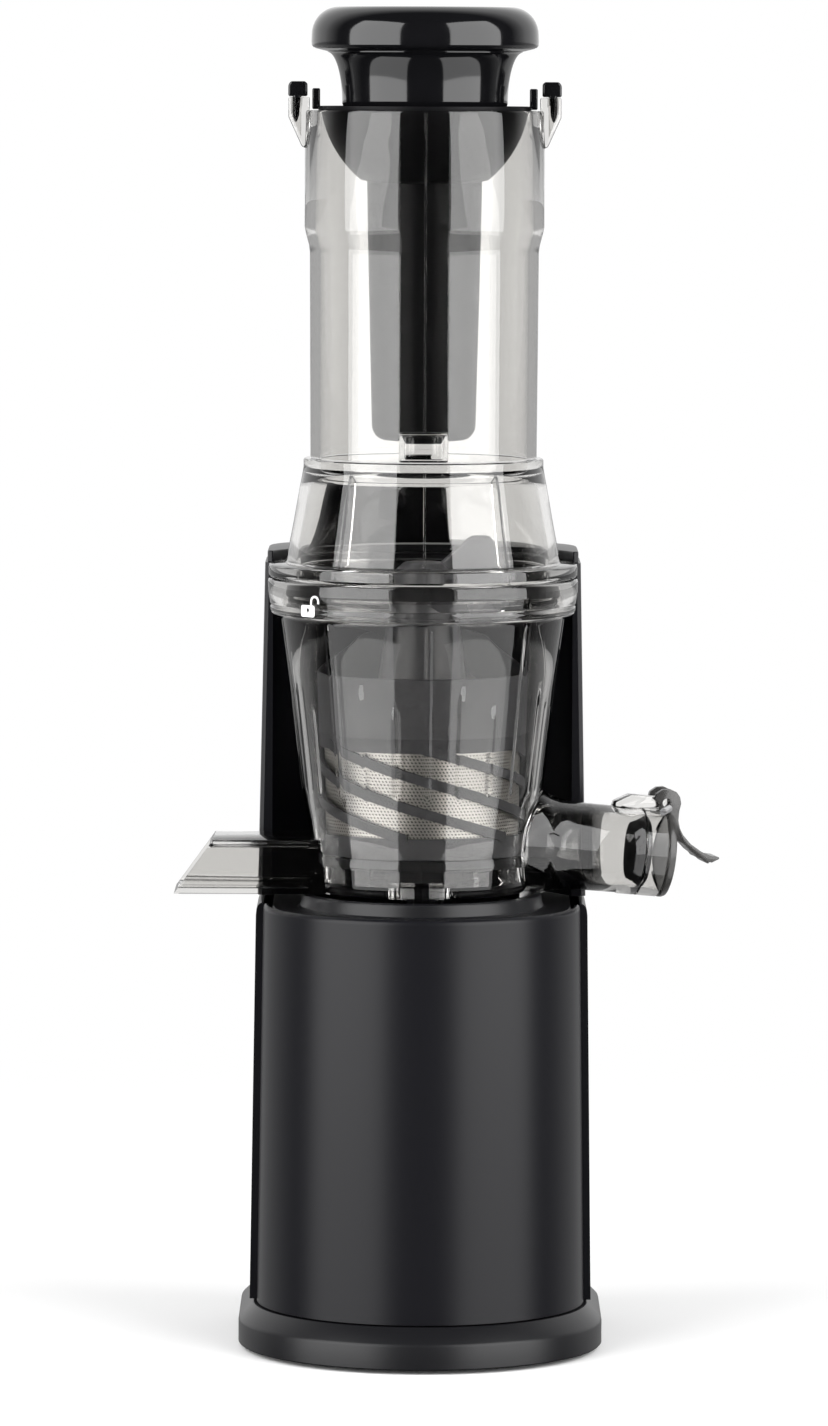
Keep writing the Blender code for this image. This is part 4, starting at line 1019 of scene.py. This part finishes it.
def makeTower():
    size = {"arc": 0.0545, "horn": 0.0205, "lowHalf": 0.0556, "topHalf": 0.0534, "capHalf": 0.0526,
            "rear": 0.0800, "start": 0.0460, "power": 2.6, "pocket": 0.0573, "pocketAngle": 31}
    low, high = heightsOf("tower_shell")

    def plan(half):
        points = [(half - 0.0014, size["horn"] - 0.0006), (half - 0.0003, size["horn"] + 0.0002),
                  (half, size["horn"] + 0.0012)]
        back = []
        for i in range(41):
            a = math.pi / 2 * i / 40
            back.append((half * math.cos(a) ** (2 / size["power"]),
                         size["start"] + (size["rear"] - size["start"]) * math.sin(a) ** (2 / size["power"])))
        points += back + [(-x, y) for x, y in back[-2::-1]]
        points += [(-half, size["horn"] + 0.0012), (-half + 0.0003, size["horn"] + 0.0002),
                   (-half + 0.0014, size["horn"] - 0.0006)]
        return [(axisX + x, axisY + y) for x, y in points]

    def makeRoom(piece, low, high):
        # the round bay that the drum stands in
        rings = [(size["arc"], low - 0.002), (size["arc"], high + 0.002)]
        combine(piece, ringStack("drumRoom", rings, segments=240))

    tower = platePiece("towerShell", plan(size["lowHalf"]), low, high, "z")
    for vert, (x, y) in zip([v for v in tower.data.vertices if v.co.z > high - 1e-4], plan(size["topHalf"])):
        vert.co.x, vert.co.y = x, y
    makeRoom(tower, low, high)
    # a shallow recess behind the drum's tube and seals
    turns = [math.radians(size["pocketAngle"] * (1 - i / 12)) for i in range(25)]
    pocket = [(size["pocket"] * math.sin(a), size["pocket"] * math.cos(a)) for a in turns]
    pocket += [(pocket[-1][0], 0.0740), (pocket[0][0], 0.0740)]
    room = platePiece("towerPocket", [(axisX + x, axisY + y) for x, y in pocket[::-1]], 0.1560, 0.2700, "z")
    combine(tower, room)
    applyModifier(tower, "TRIANGULATE")
    finishPiece(tower, "base", satinShell, "housing_black", "tower_shell", angle=30)

    low, high = heightsOf("tower_top_cap")
    cap = platePiece("towerTopCap", plan(size["capHalf"]), low, high, "z")
    makeRoom(cap, low, high)
    editPiece(cap)
    bm = bmesh.from_edit_mesh(cap.data)
    bpy.ops.mesh.select_mode(type="EDGE")
    for edge in bm.edges:
        edge.select_set(all(v.co.z > high - 1e-5 for v in edge.verts))
    bmesh.update_edit_mesh(cap.data)
    bpy.ops.mesh.bevel(offset=0.0014, segments=4, clamp_overlap=True)
    bpy.ops.object.mode_set(mode="OBJECT")
    applyModifier(cap, "TRIANGULATE")
    finishPiece(cap, "base", satinShell, "housing_black", "tower_top_cap", angle=30)


makeTower()
print("tower done")


def makeRear():
    low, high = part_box("switch_bezel")
    bezel = boxPiece("switchBezel", low, high)
    roundEdges(bezel, 0.0006, 3)
    hollow = boxPiece("bezelRoom", (low.x + 0.0022, low.y - 0.01, low.z + 0.0022),
                      (high.x - 0.0022, high.y + 0.01, high.z - 0.0022))
    combine(bezel, hollow)
    finishPiece(bezel, "base", deckBlack, "trim_black", "switch_bezel")


makeRear()
print("rear switch done")


def dressKept():
    finishes = {"housing_black": satinShell, "trim_black": glossBlack, "clear_smoke": clearSmoke,
                "cap_smoke": darkSmoke, "rubber_black": blackRubber, "silicone_black": blackSilicone,
                "silicone_grey": greySilicone, "auger_grey": augerPlastic, "steel": groundSteel,
                "strainer_black": strainerNylon, "strainer_steel": perforatedSteel,
                "gear_white": gearAcetal, "motor_steel": motorSteel, "inner_plastic": innerNylon,
                "board_green": boardLaminate}
    for part in frame["record"]["subparts"]:
        node = frame["nodes"][part["node"]]
        for place in node.material_slots:
            place.material = finishes[part["material_slot"]]
    for name in ("drive_shaft", "auger_socket"):
        for place in frame["nodes"][name].material_slots:
            place.material = paintedShadeSteel    # painted shade: the steel in the drum's foot is coloured dark, standing in for its shade and hiding its glints


dressKept()
print("kept parts dressed")
